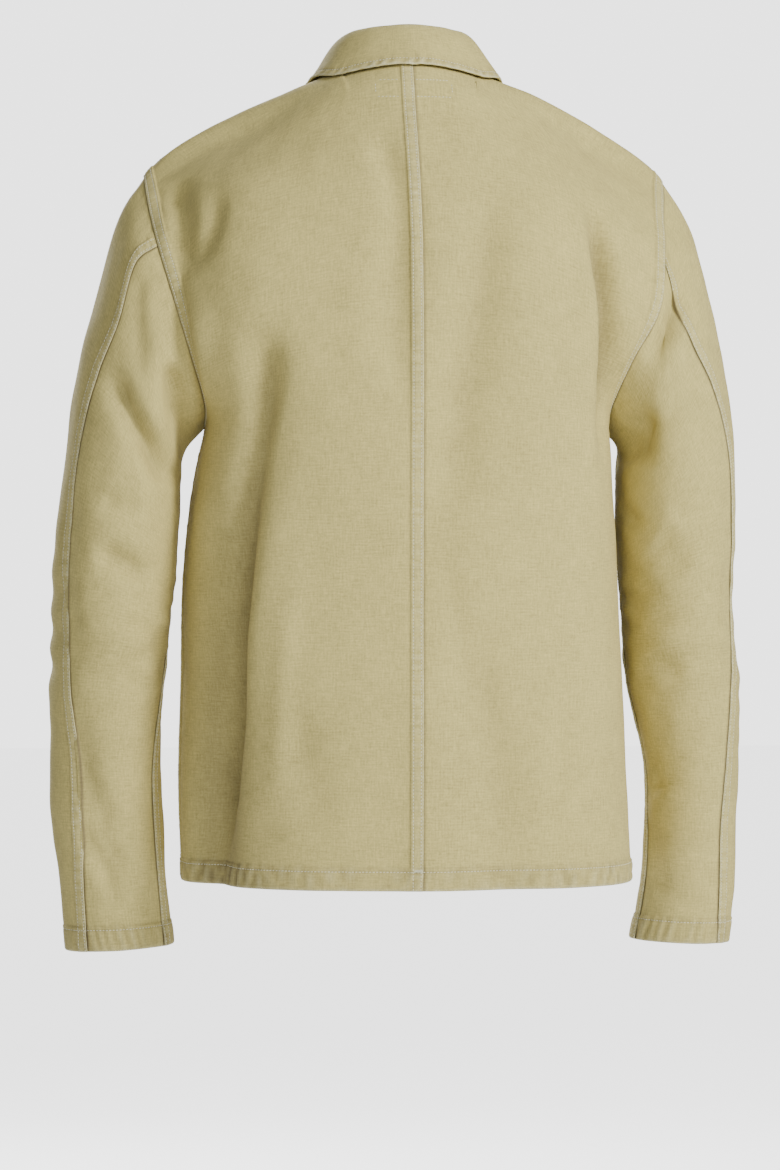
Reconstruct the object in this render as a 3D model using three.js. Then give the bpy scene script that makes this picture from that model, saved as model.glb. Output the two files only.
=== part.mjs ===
// A chore jacket as it hangs when worn and buttoned: an empty shell of canvas panels.
// Millimetres, +Z up, front towards -Y. The origin is the middle of the neck opening,
// level with the points where the shoulder seams meet the collar.
import * as THREE from 'three';
import { mergeVertices } from 'three/addons/utils/BufferGeometryUtils.js';

// Driving sizes
const wall = 1.6; // canvas with its turned edges, as one wall
const seamGap = 0.3; // between two pieces at a seam
const slantGap = 0.9; // the same, measured round a sleeve where its seam runs slantwise
const fellWidth = 10; // flat-felled seams
const fellRaise = 1.0;
const fellSlope = 1.4; // width of the step beside a felled seam
const hemDepth = 18; // turned hem of the body
const cuffDepth = 21; // turned hem of the sleeves
const hemRaise = 0.8;
const collarEnd = 0.06; // the collar stops this share of the neck's half width from the centre
const frontOverlap = 18; // each front passes the centre line by this much
const underOffset = 3.1; // the right front lies this much further in
const neckHalfWidth = 75;
const neckBack = 72;
const neckFront = 76;
const collarWall = 2.2;
const foldReach = 18; // folds fade out over this distance from an armhole
const centreDrift = -3; // the centre lines hang this much to the wearer's right
const buttonRadius = 10;
const buttonThick = 3.6;
const buttonBevel = 0.6;
const buttonStandOff = 0.6;
const buttonSides = 28;
const holeCircle = 2.9; // the four holes stand this far from the middle
const holeRadius = 1.1;
const holeSides = 8;

const canvas = new THREE.Color('#b7aa80');
const thread = new THREE.Color('#8f8262');

// The shell is drawn by rows across one half of the body. The rows run from the back hem
// over the shoulder ridge to the front hem. mid is the row's end on the centre line, edge its
// end at the side seam or armhole; turn and drop are the row's direction there, in degrees;
// fullMid and fullEdge say how square the row is, dip how far it falls beside the centre.
const torsoColumns = ['name', 'zMid', 'yMid', 'xEdge', 'yEdge', 'zEdge',
  'turn', 'drop', 'fullMid', 'fullEdge', 'dip', 'shift'];
const torsoRows = [
  ['hemBack', -690, 138, 192, -4, -690, 90, 0, 0.56, 0.44, 0, -2],
  ['seatBack', -610, 141, 191, -4, -610, 90, 0, 0.57, 0.44, 0, 2],
  ['hipBack', -520, 143, 188, -4, -520, 90, 0, 0.57, 0.44, 0, 3],
  ['waistBack', -430, 144, 184, -4, -430, 91, 0, 0.56, 0.45, 0, 5],
  ['ribBack', -355, 146, 177, 0, -355, 94, 0, 0.56, 0.48, 0, 4],
  ['armpitBack', -305, 148, 172, 8, -305, 92, 0, 0.55, 0.50, 0, 0],
  ['scyeLow', -262, 149, 173, 50, -286, 84, 4, 0.53, 0.35, 0, 0],
  ['scyeMid', -205, 147, 186, 78, -248, 56, 12, 0.50, 0.27, 0, -1],
  ['scyeHigh', -145, 138, 204, 79, -205, 38, 20, 0.46, 0.26, 0, -6],
  ['blade', -92, 121, 215, 60, -152, 28, 27, 0.44, 0.26, 0, -2],
  ['yoke', -46, 100, 219, 39, -124, 18, 30, 0.30, 0.35, 0, 0],
  ['nape', 2, 73, 222, 20, -103, 8, 30, 0.20, 0.44, 0, 0],
  ['ridge', 8, 10, 223, 4, -90, 0, 58, 0.24, 0.18, 2, 0],
  ['collarbone', -8, -46, 221, -13, -105, -10, 30, 0.20, 0.42, 0, 0],
  ['upperChest', -62, -76, 216, -36, -134, -20, 30, 0.36, 0.31, 0, 0],
  ['chest', -122, -106, 207, -56, -172, -34, 24, 0.47, 0.27, 0, 0],
  ['frontScyeMid', -185, -125, 193, -64, -216, -50, 14, 0.50, 0.29, 0, 0],
  ['frontScyeLow', -245, -134, 179, -55, -262, -66, 6, 0.53, 0.33, 0, 0],
  ['frontScyeBase', -284, -137, 171, -26, -294, -82, 2, 0.55, 0.40, 0, 0],
  ['armpitFront', -305, -138, 172, 8, -305, -92, 0, 0.55, 0.46, 0, 0],
  ['ribFront', -355, -139, 177, 0, -355, -91, 0, 0.55, 0.45, 0, 4],
  ['waistFront', -430, -141, 184, -4, -430, -90, 0, 0.55, 0.43, 0, 5],
  ['hipFront', -520, -144, 188, -4, -520, -90, 0, 0.55, 0.43, 0, 3],
  ['seatFront', -610, -147, 191, -4, -610, -90, 0, 0.55, 0.43, 0, 2],
  ['hemFront', -690, -149, 192, -4, -690, -90, 0, 0.55, 0.43, 0, -2],
];

// Rings of a sleeve below the armhole: the outer and inner end of each ring seen from behind,
// how far back its middle lies, half its depth, and where its two seams run, in degrees round
// from the outer end by way of the back.
// oval says how far a ring has left the armhole's pointed shape for a plain oval.
const sleeveColumns = ['name', 'xOut', 'zOut', 'xIn', 'zIn', 'yMid', 'halfDepth', 'oval',
  'backSeam', 'frontSeam'];
const leftSleeveRows = [
  ['cap', 243, -124, 188, -323, 13, 76, 0.35, 50, 212],
  ['capLow', 261, -181, 191, -347, 11, 77, 0.75, 54, 211],
  ['upperArm', 278, -248, 192.5, -374, 9, 76, 1, 46, 209],
  ['bicep', 289, -312, 194, -398, 7, 73, 1, 40, 205],
  ['bicepLow', 297, -380, 196, -428, 5, 70, 1, 38, 198],
  ['elbow', 300.5, -450, 201, -468, 2, 66, 1, 40, 186],
  ['foreArm', 303, -520, 207, -526, -6, 60, 1, 50, 165],
  ['foreArmLow', 303, -590, 209, -592, -16, 55, 1, 60, 148],
  ['wrist', 300, -655, 206, -654, -27, 50, 1, 61, 146],
  ['cuffTop', 295, -705, 202, -702, -37, 46, 1, 57, 146],
  ['cuff', 289, -753, 197, -748, -45, 44, 1, 53, 144],
];
const rightSleeveRows = [
  ['cap', 245, -126, 184, -323, 12, 76, 0.35, 71, 205],
  ['capLow', 262, -184, 184, -347, 10, 78, 0.75, 67, 204],
  ['upperArm', 275, -250, 184, -374, 8, 78, 1, 52, 203],
  ['bicep', 284, -314, 184, -398, 6, 76, 1, 40, 200],
  ['bicepLow', 286, -382, 186.5, -428, 4, 72, 1, 36, 196],
  ['elbow', 284.5, -450, 190, -466, 0, 67, 1, 33, 190],
  ['foreArm', 292, -520, 196, -524, -8, 60, 1, 44, 182],
  ['foreArmLow', 294, -590, 212, -592, -18, 54, 1, 57, 176],
  ['wrist', 292, -652, 214, -652, -29, 49, 1, 60, 170],
  ['cuffTop', 293, -702, 212, -700, -38, 45, 1, 58, 165],
  ['cuff', 289.5, -750, 204, -747, -45, 43, 1, 50, 162],
];
const armholeSeams = { left: [60, 214], right: [70, 208] };

// The collar from the centre back to a front end: the height of its stand, and the leaf's outer
// edge as a place on the shell, x from the centre and travel down the back (+) or front (-)
// from the shoulder ridge, with the height it stands off there.
const collarColumns = ['name', 'along', 'stand', 'xEdge', 'travel', 'lift'];
const collarRows = [
  ['centreBack', 0, 30, 0, 57, 7],
  ['back', 0.17, 30, 38, 54, 6.5],
  ['quarter', 0.33, 30, 69, 38, 6],
  ['shoulder', 0.5, 29, 81, 4, 5.5],
  ['side', 0.62, 27, 87, -28, 5.5],
  ['frontSide', 0.75, 25, 86, -63, 5.5],
  ['leaf', 0.88, 21, 75, -97, 5],
  ['point', 0.98, 19, 55, -128, 5],
];
const standLean = 24; // degrees towards the neck

// Soft folds in the cloth, seen from behind or from the front: each is a path of [x, z] points
// with its half width and its depth, below zero for a trough. ends fades it out at both ends.
const foldColumns = ['name', 'part', 'width', 'depth', 'path'];
const folds = [
  ['leftShoulderBlade', 'back', 14, -6, [[118, -215], [114, -250], [119, -305], [131, -365], [142, -440]]],
  ['leftFlank', 'back', 30, -15, [[158, -330], [168, -420], [176, -520], [180, -620], [184, -700]]],
  ['leftFlankEdge', 'back', 16, 5, [[112, -330], [124, -400], [134, -480], [144, -580], [152, -690]]],
  ['leftArmhole', 'back', 10, -8, [[203, -98], [195, -110], [192, -132], [190, -165], [187, -190]]],
  ['leftBladeSide', 'back', 13, -5, [[168, -122], [165, -140], [170, -160], [175, -180]]],
  ['leftOverhang', 'back', 13, 6, [[179, -185], [179, -250], [180, -300], [184, -345]]],
  ['centreBack', 'back', 10, -3, [[38, -60], [26, -76], [18, -95], [14, -125], [12, -180], [11, -260]]],
  ['rightBlade', 'back', 20, -3.5, [[-78, -95], [-70, -160], [-58, -225], [-46, -290], [-40, -350]]],
  ['rightDrape', 'back', 11, -10,
    [[-146, -118], [-160, -148], [-168, -182], [-171, -215], [-170, -250], [-166, -285], [-160, -330]]],
  ['rightDrapeRidge', 'back', 16, 4, [[-142, -160], [-148, -220], [-148, -290], [-146, -350], [-150, -430]]],
  ['rightOverhang', 'back', 12, 4, [[-188, -200], [-186, -250], [-184, -290]]],
  ['lowRight', 'back', 26, -3, [[-58, -470], [-74, -560], [-86, -640]]],
  ['chestLeft', 'front', 12, -6, [[166, -150], [160, -190], [154, -240]]],
  ['chestRight', 'front', 14, -6, [[-154, -140], [-146, -190], [-136, -240], [-132, -290]]],
  ['waistLeft', 'front', 24, -6, [[160, -330], [146, -400], [150, -470]]],
  ['waistRight', 'front', 24, -7, [[-166, -340], [-152, -420], [-158, -500]]],
  ['sleeveCrush', 'leftSleeve', 12, -9, [[257, -255], [243, -283], [226, -316], [205, -346], [197, -358]]],
  ['sleeveInner', 'leftSleeve', 11, -6, [[203, -250], [197, -280], [193, -305]]],
  ['elbowBend', 'leftSleeve', 11, -4, [[272, -409], [250, -417], [230, -426], [212, -446]]],
  ['foreArmTurn', 'leftSleeve', 13, -6, [[290, -530], [272, -602], [260, -644], [247, -677], [243, -700]]],
  ['sleeveCrush', 'rightSleeve', 11, -9, [[-232, -185], [-219, -207], [-207, -228], [-196, -250]]],
  ['sleeveInner', 'rightSleeve', 11, -7, [[-200, -288], [-194, -316], [-190, -341]]],
  ['elbowBend', 'rightSleeve', 18, -4, [[-204, -400], [-222, -410], [-242, -418]]],
  ['foreArmTurn', 'rightSleeve', 11, -5, [[-202, -570], [-211, -606], [-224, -620]]],
];

// Patch pockets, as places on the fronts: middle and half width across, top and bottom height
const pocketColumns = ['name', 'side', 'xMid', 'halfWidth', 'zTop', 'zBottom'];
const pockets = [
  ['pocket_hip_left', 1, 98, 68, -492, -652],
  ['pocket_hip_right', -1, 98, 68, -492, -652],
  ['pocket_chest', 1, 86, 46, -188, -300],
];
const pocketLift = 0.9;
const pocketHem = 20;
const pocketHemRaise = 0.7;

const buttonHeights = [-97, -212, -327, -442, -557];

// Grid counts
const count = { across: 4, belowArmpit: 8, aboveArmpit: 10, sleeveDown: 18,
  pocketAcross: 9, pocketDown: 5 };

// Small helpers
const clamp01 = (v) => Math.min(1, Math.max(0, v));
const smooth = (a, b, v) => {
  const t = clamp01((v - a) / (b - a));
  return t * t * (3 - 2 * t);
};
const radians = (deg) => (deg * Math.PI) / 180;
const vec = (x, y, z) => new THREE.Vector3(x, y, z);
const along = (p, dir, d) => p.clone().addScaledVector(dir, d);
const lerp = (a, b, t) => a + (b - a) * t;

function readTable(columns, rows) {
  return rows.map((row) => Object.fromEntries(columns.map((c, i) => [c, row[i]])));
}

// Slopes before and after each knot of a smooth curve; at a corner the two sides differ
function slopes(knots, values, corners) {
  const last = knots.length - 1;
  const rise = (i) => (values[i + 1] - values[i]) / (knots[i + 1] - knots[i]);
  return values.map((_, i) => {
    if (i === 0) return [rise(0), rise(0)];
    if (i === last) return [rise(last - 1), rise(last - 1)];
    if (corners.includes(i)) return [rise(i - 1), rise(i)];
    const before = knots[i] - knots[i - 1];
    const after = knots[i + 1] - knots[i];
    const slope = (rise(i - 1) * after + rise(i) * before) / (before + after);
    return [slope, slope];
  });
}

function curveThrough(knots, values, corners = []) {
  const slope = slopes(knots, values, corners);
  return (at) => {
    let i = 0;
    while (i < knots.length - 2 && at > knots[i + 1]) i++;
    const span = knots[i + 1] - knots[i];
    const t = (at - knots[i]) / span;
    const t2 = t * t;
    const t3 = t2 * t;
    return (2 * t3 - 3 * t2 + 1) * values[i] + (t3 - 2 * t2 + t) * span * slope[i][1]
      + (-2 * t3 + 3 * t2) * values[i + 1] + (t3 - t2) * span * slope[i + 1][0];
  };
}

// Looks for the argument where a rising or falling function reaches a value
function solve(f, target, low, high) {
  const rising = f(high) > f(low);
  for (let i = 0; i < 36; i++) {
    const middle = (low + high) / 2;
    if ((f(middle) < target) === rising) low = middle;
    else high = middle;
  }
  return (low + high) / 2;
}

// The torso shell
const torso = readTable(torsoColumns, torsoRows);
const torsoKnots = [0];
for (let i = 1; i < torso.length; i++) {
  const a = torso[i - 1];
  const b = torso[i];
  const mid = Math.hypot(a.zMid - b.zMid, a.yMid - b.yMid);
  const edge = Math.hypot(a.xEdge - b.xEdge, a.yEdge - b.yEdge, a.zEdge - b.zEdge);
  torsoKnots.push(torsoKnots[i - 1] + (mid + edge) / 2);
}
const knotOf = (name) => torsoKnots[torso.findIndex((r) => r.name === name)];
// the armhole and the side seam meet in a corner at the armpit
const armpits = ['armpitBack', 'armpitFront'].map((name) => torso.findIndex((r) => r.name === name));
const torsoCurve = Object.fromEntries(torsoColumns.slice(1).map((c) =>
  [c, curveThrough(torsoKnots, torso.map((r) => r[c]))]));
const edgeCurve = Object.fromEntries(['xEdge', 'yEdge', 'zEdge'].map((c) =>
  [c, curveThrough(torsoKnots, torso.map((r) => r[c]), armpits)]));
const ridgeAt = knotOf('ridge');
const armpitBackAt = knotOf('armpitBack');
const armpitFrontAt = knotOf('armpitFront');
const hemBackAt = 0;
const hemFrontAt = torsoKnots[torsoKnots.length - 1];

// Control points of the row at travel w
function rowPoints(w) {
  const c = Object.fromEntries(Object.entries(torsoCurve).map(([k, f]) => [k, f(w)]));
  const start = vec(0, c.yMid, c.zMid);
  const end = vec(edgeCurve.xEdge(w), edgeCurve.yEdge(w), edgeCurve.zEdge(w));
  const smoothEnd = vec(c.xEdge, c.yEdge, c.zEdge);
  const span = start.distanceTo(smoothEnd);
  const turn = radians(c.turn);
  const drop = radians(c.drop);
  const heading = vec(Math.cos(turn) * Math.cos(drop), -Math.sin(turn) * Math.cos(drop), -Math.sin(drop));
  return {
    start, end, shift: c.shift, edgeSpeed: 3 * c.fullEdge * span,
    one: vec(c.fullMid * span, c.yMid, c.zMid - c.dip),
    two: along(smoothEnd, heading, -c.fullEdge * span),
  };
}

// s runs from -1 at the right edge of a row to 1 at its left edge
function torsoPoint(w, s) {
  const r = rowPoints(w);
  const t = Math.abs(s);
  const k = [(1 - t) ** 3, 3 * (1 - t) ** 2 * t, 3 * (1 - t) * t * t, t ** 3];
  const p = vec(0, 0, 0);
  [r.start, r.one, r.two, r.end].forEach((q, i) => p.addScaledVector(q, k[i]));
  const drift = centreDrift * smooth(20, 200, Math.abs(w - ridgeAt));
  return vec((s < 0 ? -p.x : p.x) + lerp(drift, r.shift, t * t), p.y, p.z);
}

function normalOf(surface, a, b, stepA, stepB) {
  const da = surface(a + stepA, b).sub(surface(a - stepA, b));
  const db = surface(a, b + stepB).sub(surface(a, b - stepB));
  return da.cross(db).normalize();
}
const insideTravel = (w) => Math.min(Math.max(w, 1), hemFrontAt - 1);
const torsoNormal = (w, s) =>
  normalOf(torsoPoint, insideTravel(w), Math.min(0.995, Math.max(-0.995, s)), 0.5, 0.004);

// The armhole seen from the side is a pointed oval. Each of its points has an angle round the
// oval's middle, 0 at the shoulder and 90 at the back, and a reach compared with a full oval.
const scye = { yMid: 8, zMid: -197.5, halfDepth: 74, halfHeight: 107.5 };
function scyeShape(w) {
  const back = (edgeCurve.yEdge(w) - scye.yMid) / scye.halfDepth;
  const up = (edgeCurve.zEdge(w) - scye.zMid) / scye.halfHeight;
  const angle = (Math.atan2(back, up) * 180) / Math.PI;
  return { angle: w > ridgeAt && angle < 0 ? angle + 360 : angle, reach: Math.hypot(back, up) };
}
const inCircle = (angle) => ((angle % 360) + 360) % 360;
function travelAtAngle(angle) {
  const turned = inCircle(angle);
  if (turned <= scyeShape(ridgeAt).angle) return ridgeAt;
  return turned <= 180
    ? solve((w) => scyeShape(w).angle, turned, armpitBackAt, ridgeAt)
    : solve((w) => scyeShape(w).angle, turned, ridgeAt + 1e-6, armpitFrontAt);
}

// The armhole edge as the body panels draw it, straight from row to row
const armholeRows = [armpitBackAt, armpitFrontAt].flatMap((low) =>
  Array.from({ length: count.aboveArmpit + 1 }, (_, i) => lerp(low, ridgeAt, i / count.aboveArmpit)));
armholeRows.sort((a, b) => a - b);
function armholePoint(side, angle) {
  const w = travelAtAngle(angle);
  const above = armholeRows.find((row) => row >= w) ?? armpitFrontAt;
  const below = armholeRows.findLast((row) => row <= w) ?? armpitBackAt;
  const share = above > below ? (w - below) / (above - below) : 0;
  return torsoPoint(below, side).lerp(torsoPoint(above, side), share);
}
const armholeAngles = armholeRows.map((w) => scyeShape(w).angle)
  .filter((angle, i, all) => all.findIndex((other) => Math.abs(other - angle) < 0.1) === i);

function makeSleeve(side, rows, name) {
  const rings = readTable(sleeveColumns, rows);
  const ringPoint = (ring, angle, reach) => {
    const c = Math.cos(radians(angle)) * lerp(reach, 1, ring.oval);
    const s = Math.sin(radians(angle)) * lerp(reach, 1, ring.oval);
    const x = (ring.xOut + ring.xIn) / 2 + (c * (ring.xOut - ring.xIn)) / 2;
    const z = (ring.zOut + ring.zIn) / 2 + (c * (ring.zOut - ring.zIn)) / 2;
    return vec(side * x, ring.yMid + s * ring.halfDepth, z);
  };
  const middle = (ring) => vec((ring.xOut + ring.xIn) / 2, ring.yMid, (ring.zOut + ring.zIn) / 2);
  const armholeMiddle = armholePoint(1, 0).add(armholePoint(1, 180)).multiplyScalar(0.5);
  const knots = [0];
  rings.forEach((ring, i) => {
    const before = i ? middle(rings[i - 1]) : armholeMiddle;
    knots.push(knots[i] + middle(ring).distanceTo(before));
  });
  const cache = new Map();
  const meridian = (angle) => {
    const key = angle.toFixed(5);
    if (!cache.has(key)) {
      const { reach } = scyeShape(travelAtAngle(angle));
      const points = [armholePoint(side, angle), ...rings.map((r) => ringPoint(r, angle, reach))];
      cache.set(key, ['x', 'y', 'z'].map((axis) => curveThrough(knots, points.map((p) => p[axis]))));
    }
    return cache.get(key);
  };
  const point = (travel, angle) => vec(...meridian(angle).map((f) => f(travel)));
  const length = knots[knots.length - 1];
  const seams = armholeSeams[side > 0 ? 'left' : 'right'];
  const seam = (column, first) => curveThrough(knots, [first, ...rings.map((r) => r[column])]);
  const normal = (travel, angle) => {
    const t = Math.min(Math.max(travel, 0.6), length - 0.6);
    return normalOf(point, t, angle, 0.5, 0.5).multiplyScalar(side);
  };
  return { side, name, point, normal, length,
    backSeam: seam('backSeam', seams[0]), frontSeam: seam('frontSeam', seams[1]) };
}
const sleeves = {
  left: makeSleeve(1, leftSleeveRows, 'leftSleeve'),
  right: makeSleeve(-1, rightSleeveRows, 'rightSleeve'),
};

// How far a point stands out of or into the plain form
const foldTable = readTable(foldColumns, folds);
function nearestOnPath(path, x, z) {
  let best = { distance: Infinity, at: 0 };
  for (let i = 0; i < path.length - 1; i++) {
    const [ax, az] = path[i];
    const [bx, bz] = path[i + 1];
    const run = (bx - ax) ** 2 + (bz - az) ** 2;
    const t = clamp01(((x - ax) * (bx - ax) + (z - az) * (bz - az)) / run);
    const distance = Math.hypot(x - lerp(ax, bx, t), z - lerp(az, bz, t));
    if (distance < best.distance) best = { distance, at: (i + t) / (path.length - 1) };
  }
  return best;
}
function foldDepth(part, x, z) {
  let depth = 0;
  for (const fold of foldTable) {
    if (fold.part !== part) continue;
    const near = nearestOnPath(fold.path, x, z);
    const fade = smooth(-0.02, 0.22, near.at) * smooth(1.02, 0.78, near.at);
    depth += fold.depth * fade * Math.exp(-((near.distance / fold.width) ** 2));
  }
  return depth;
}

// The shell with its folds
function bodyPoint(w, s) {
  const p = torsoPoint(w, s);
  const part = w < ridgeAt ? 'back' : 'front';
  const toEdge = (1 - Math.abs(s)) * rowPoints(w).edgeSpeed;
  const below = Math.max(0, armpitBackAt - w, w - armpitFrontAt);
  const fade = smooth(0, foldReach, Math.hypot(toEdge, below));
  const fromRidge = smooth(0, 60, Math.abs(w - ridgeAt));
  return along(p, torsoNormal(w, s), foldDepth(part, p.x, p.z) * fade * fromRidge);
}
function sleevePoint(sleeve, travel, angle) {
  const p = sleeve.point(travel, angle);
  const fade = smooth(0, foldReach, travel);
  const facing = smooth(0.05, 0.5, Math.sin(radians(angle)));
  const depth = foldDepth(sleeve.name, p.x, p.z) * fade * facing;
  return along(p, sleeve.normal(travel, angle), depth);
}

// A closed wall between a grid of outer points and the same grid moved in
function wallGeometry(outer, inner) {
  const down = outer.length;
  const across = outer[0].length;
  const positions = [];
  for (const grid of [outer, inner]) {
    for (const line of grid) for (const p of line) positions.push(p.x, p.y, p.z);
  }
  const at = (i, j, layer) => layer * down * across + i * across + j;
  const index = [];
  const quad = (a, b, c, d) => index.push(a, b, c, a, c, d);
  for (let i = 0; i < down - 1; i++) {
    for (let j = 0; j < across - 1; j++) {
      quad(at(i, j, 0), at(i, j + 1, 0), at(i + 1, j + 1, 0), at(i + 1, j, 0));
      quad(at(i, j, 1), at(i + 1, j, 1), at(i + 1, j + 1, 1), at(i, j + 1, 1));
    }
  }
  const rim = [];
  for (let j = 0; j < across - 1; j++) rim.push([0, j]);
  for (let i = 0; i < down - 1; i++) rim.push([i, across - 1]);
  for (let j = across - 1; j > 0; j--) rim.push([down - 1, j]);
  for (let i = down - 1; i > 0; i--) rim.push([i, 0]);
  rim.forEach(([i, j], k) => {
    const [i2, j2] = rim[(k + 1) % rim.length];
    quad(at(i, j, 0), at(i, j, 1), at(i2, j2, 1), at(i2, j2, 0));
  });
  const geometry = new THREE.BufferGeometry();
  geometry.setAttribute('position', new THREE.Float32BufferAttribute(positions, 3));
  geometry.setIndex(index);
  if (signedVolume(geometry) < 0) {
    for (let i = 0; i < index.length; i += 3) [index[i], index[i + 1]] = [index[i + 1], index[i]];
    geometry.setIndex(index);
  }
  geometry.computeVertexNormals();
  return geometry;
}

function signedVolume(geometry) {
  const p = geometry.attributes.position;
  const corner = (i) => new THREE.Vector3().fromBufferAttribute(p, geometry.index.getX(i));
  let volume = 0;
  for (let i = 0; i < geometry.index.count; i += 3) {
    volume += corner(i).dot(corner(i + 1).cross(corner(i + 2)));
  }
  return volume;
}

const jacket = new THREE.Group();
function addPiece(name, geometry, colour = canvas, roughness = 0.92) {
  const material = new THREE.MeshStandardMaterial({ color: colour, roughness, metalness: 0 });
  const mesh = new THREE.Mesh(geometry, material);
  mesh.name = name;
  jacket.add(mesh);
}

// At a seam both pieces take their thickness along one shared direction, unless they fold back
const openness = (own, other) => smooth(-0.2, 0.5, own.dot(other));
function sharedNormal(own, other, nearness) {
  return own.clone().addScaledVector(other, nearness * openness(own, other)).normalize();
}

// Neck opening: each row line of the shell ends where it meets an oval seen from above
function neckOval(p) {
  const depth = p.y > 0 ? neckBack : neckFront;
  return (p.x / neckHalfWidth) ** 2 + (p.y / depth) ** 2 - 1;
}
const plainX = (w, s) => torsoPoint(w, s).x - torsoPoint(w, 0).x;
const neckPointS = solve((s) => plainX(ridgeAt, s), neckHalfWidth, 0, 1);
function topOf(face, s) {
  const lowEnd = face === 'back' ? armpitBackAt : armpitFrontAt;
  const t = Math.abs(s);
  if (t >= neckPointS) return ridgeAt;
  return solve((w) => neckOval(torsoPoint(w, t)), 0, lowEnd, ridgeAt);
}

// s of a column given as x from the centre, as a share of the row, or as a distance from its edge
function columnS(column, w) {
  if (column.kind === 'x') {
    const size = solve((s) => plainX(w, s), Math.abs(column.value), 0, 1);
    return column.value < 0 ? -size : size;
  }
  if (column.kind === 'edge') return 1 - column.value / rowPoints(w).edgeSpeed;
  return column.value;
}
const atX = (value) => ({ kind: 'x', value });
const atShare = (value) => ({ kind: 'share', value });
const atEdge = (value) => ({ kind: 'edge', value });
const spread = (from, to, n) => Array.from({ length: n }, (_, i) => lerp(from, to, (i + 1) / (n + 1)));

// Rows of a body panel, hem first: heights above the hem, then shares of the way to the top
function bodyRows(face) {
  const hem = face === 'back' ? hemBackAt : hemFrontAt;
  const armpit = face === 'back' ? armpitBackAt : armpitFrontAt;
  const way = Math.sign(armpit - hem);
  const low = [0, hemDepth, hemDepth + fellSlope].map((d) => hem + way * d);
  const rows = low.map((w) => () => w);
  spread(low[2], armpit, count.belowArmpit).forEach((w) => rows.push(() => w));
  for (let i = 0; i <= count.aboveArmpit; i++) {
    const share = i / count.aboveArmpit;
    const back = i === count.aboveArmpit ? (seamGap / 2) * way : 0;
    rows.push((top) => lerp(armpit, top, share) - back);
  }
  return rows;
}

// The travel at the same height on the other side of the side seam
function otherFace(w) {
  return w < ridgeAt
    ? lerp(hemFrontAt, armpitFrontAt, w / armpitBackAt)
    : lerp(armpitBackAt, hemBackAt, (w - armpitFrontAt) / (hemFrontAt - armpitFrontAt));
}

// One panel of the body. mirror is 1 for the wearer's left and -1 for the right.
function bodyPanel(face, mirror, columns, options = {}) {
  const hem = face === 'back' ? hemBackAt : hemFrontAt;
  const armpit = face === 'back' ? armpitBackAt : armpitFrontAt;
  const outer = [];
  const inner = [];
  const sleeve = mirror > 0 ? sleeves.left : sleeves.right;
  for (const row of bodyRows(face)) {
    const outerLine = [];
    const innerLine = [];
    for (const column of columns) {
      // a first guess of the row gives the column, whose own top then gives the row
      const guess = row(topOf(face, 0.5));
      const w = row(topOf(face, columnS(column, guess)));
      const s = columnS(column, w);
      const signed = s * mirror;
      let normal = torsoNormal(w, signed);
      const toEdge = (1 - s) * rowPoints(w).edgeSpeed;
      const besideArmhole = w > armpitBackAt + 1 && w < armpitFrontAt - 1;
      let open = 1;
      if (besideArmhole && toEdge < fellWidth + fellSlope) {
        const beyond = sleeve.normal(0, scyeShape(w).angle);
        open = openness(normal, beyond);
        normal = sharedNormal(normal, beyond, clamp01(1 - toEdge / fellWidth));
      }
      if (!besideArmhole && toEdge < fellWidth) {
        const beyond = torsoNormal(otherFace(w), signed);
        normal = sharedNormal(normal, beyond, 1 - toEdge / fellWidth);
      }
      const p = bodyPoint(w, signed);
      const under = options.under ? underAt(s) : 0;
      const hemLift = Math.abs(w - hem) <= hemDepth + 0.01 ? hemRaise : 0;
      const awayFromArmpit = smooth(8, 30, Math.abs(w - armpit));
      const edgeLift = toEdge <= fellWidth + 0.01 ? fellRaise * open * awayFromArmpit : 0;
      const onMidFell = options.midFell && column.kind === 'x' && column.value <= fellWidth;
      const midLift = onMidFell ? fellRaise : 0;
      const raise = Math.max(hemLift, edgeLift, midLift);
      outerLine.push(along(p, normal, raise - under));
      innerLine.push(along(p, normal, -wall - under));
    }
    outer.push(outerLine);
    inner.push(innerLine);
  }
  return wallGeometry(outer, inner);
}

const edgeColumns = [atEdge(fellWidth + fellSlope), atEdge(fellWidth), atEdge(seamGap / 2)];
// The columns of a panel, some of them at shares of the neck's half width. The right front
// steps down under the left one between the second and third of its shares.
const neckShares = { back: [0.25, 0.5, 0.72, 0.88, 0.97, 1],
  front: [collarEnd, 0.25, 0.38, 0.52, 0.66, 0.79, 0.89, 0.96, 1] };
const middleColumns = (face) =>
  [...neckShares[face].map((t) => t * neckPointS), ...spread(neckPointS, 0.95, count.across)].map(atShare);
const underAt = (s) => underOffset * (1 - smooth(neckShares.front[1], neckShares.front[2], s / neckPointS));

function addBack() {
  const middle = middleColumns('back');
  const fell = [atX(seamGap / 2), atX(fellWidth), atX(fellWidth + fellSlope)];
  addPiece('back_left', bodyPanel('back', 1, [...fell, ...middle, ...edgeColumns], { midFell: true }));
  addPiece('back_right', bodyPanel('back', -1, [atX(seamGap / 2), ...middle, ...edgeColumns]));
}

function addFronts() {
  const columns = [atX(-frontOverlap), ...middleColumns('front'), ...edgeColumns];
  addPiece('front_left', bodyPanel('front', 1, columns));
  addPiece('front_right', bodyPanel('front', -1, columns, { under: true }));
}

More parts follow.
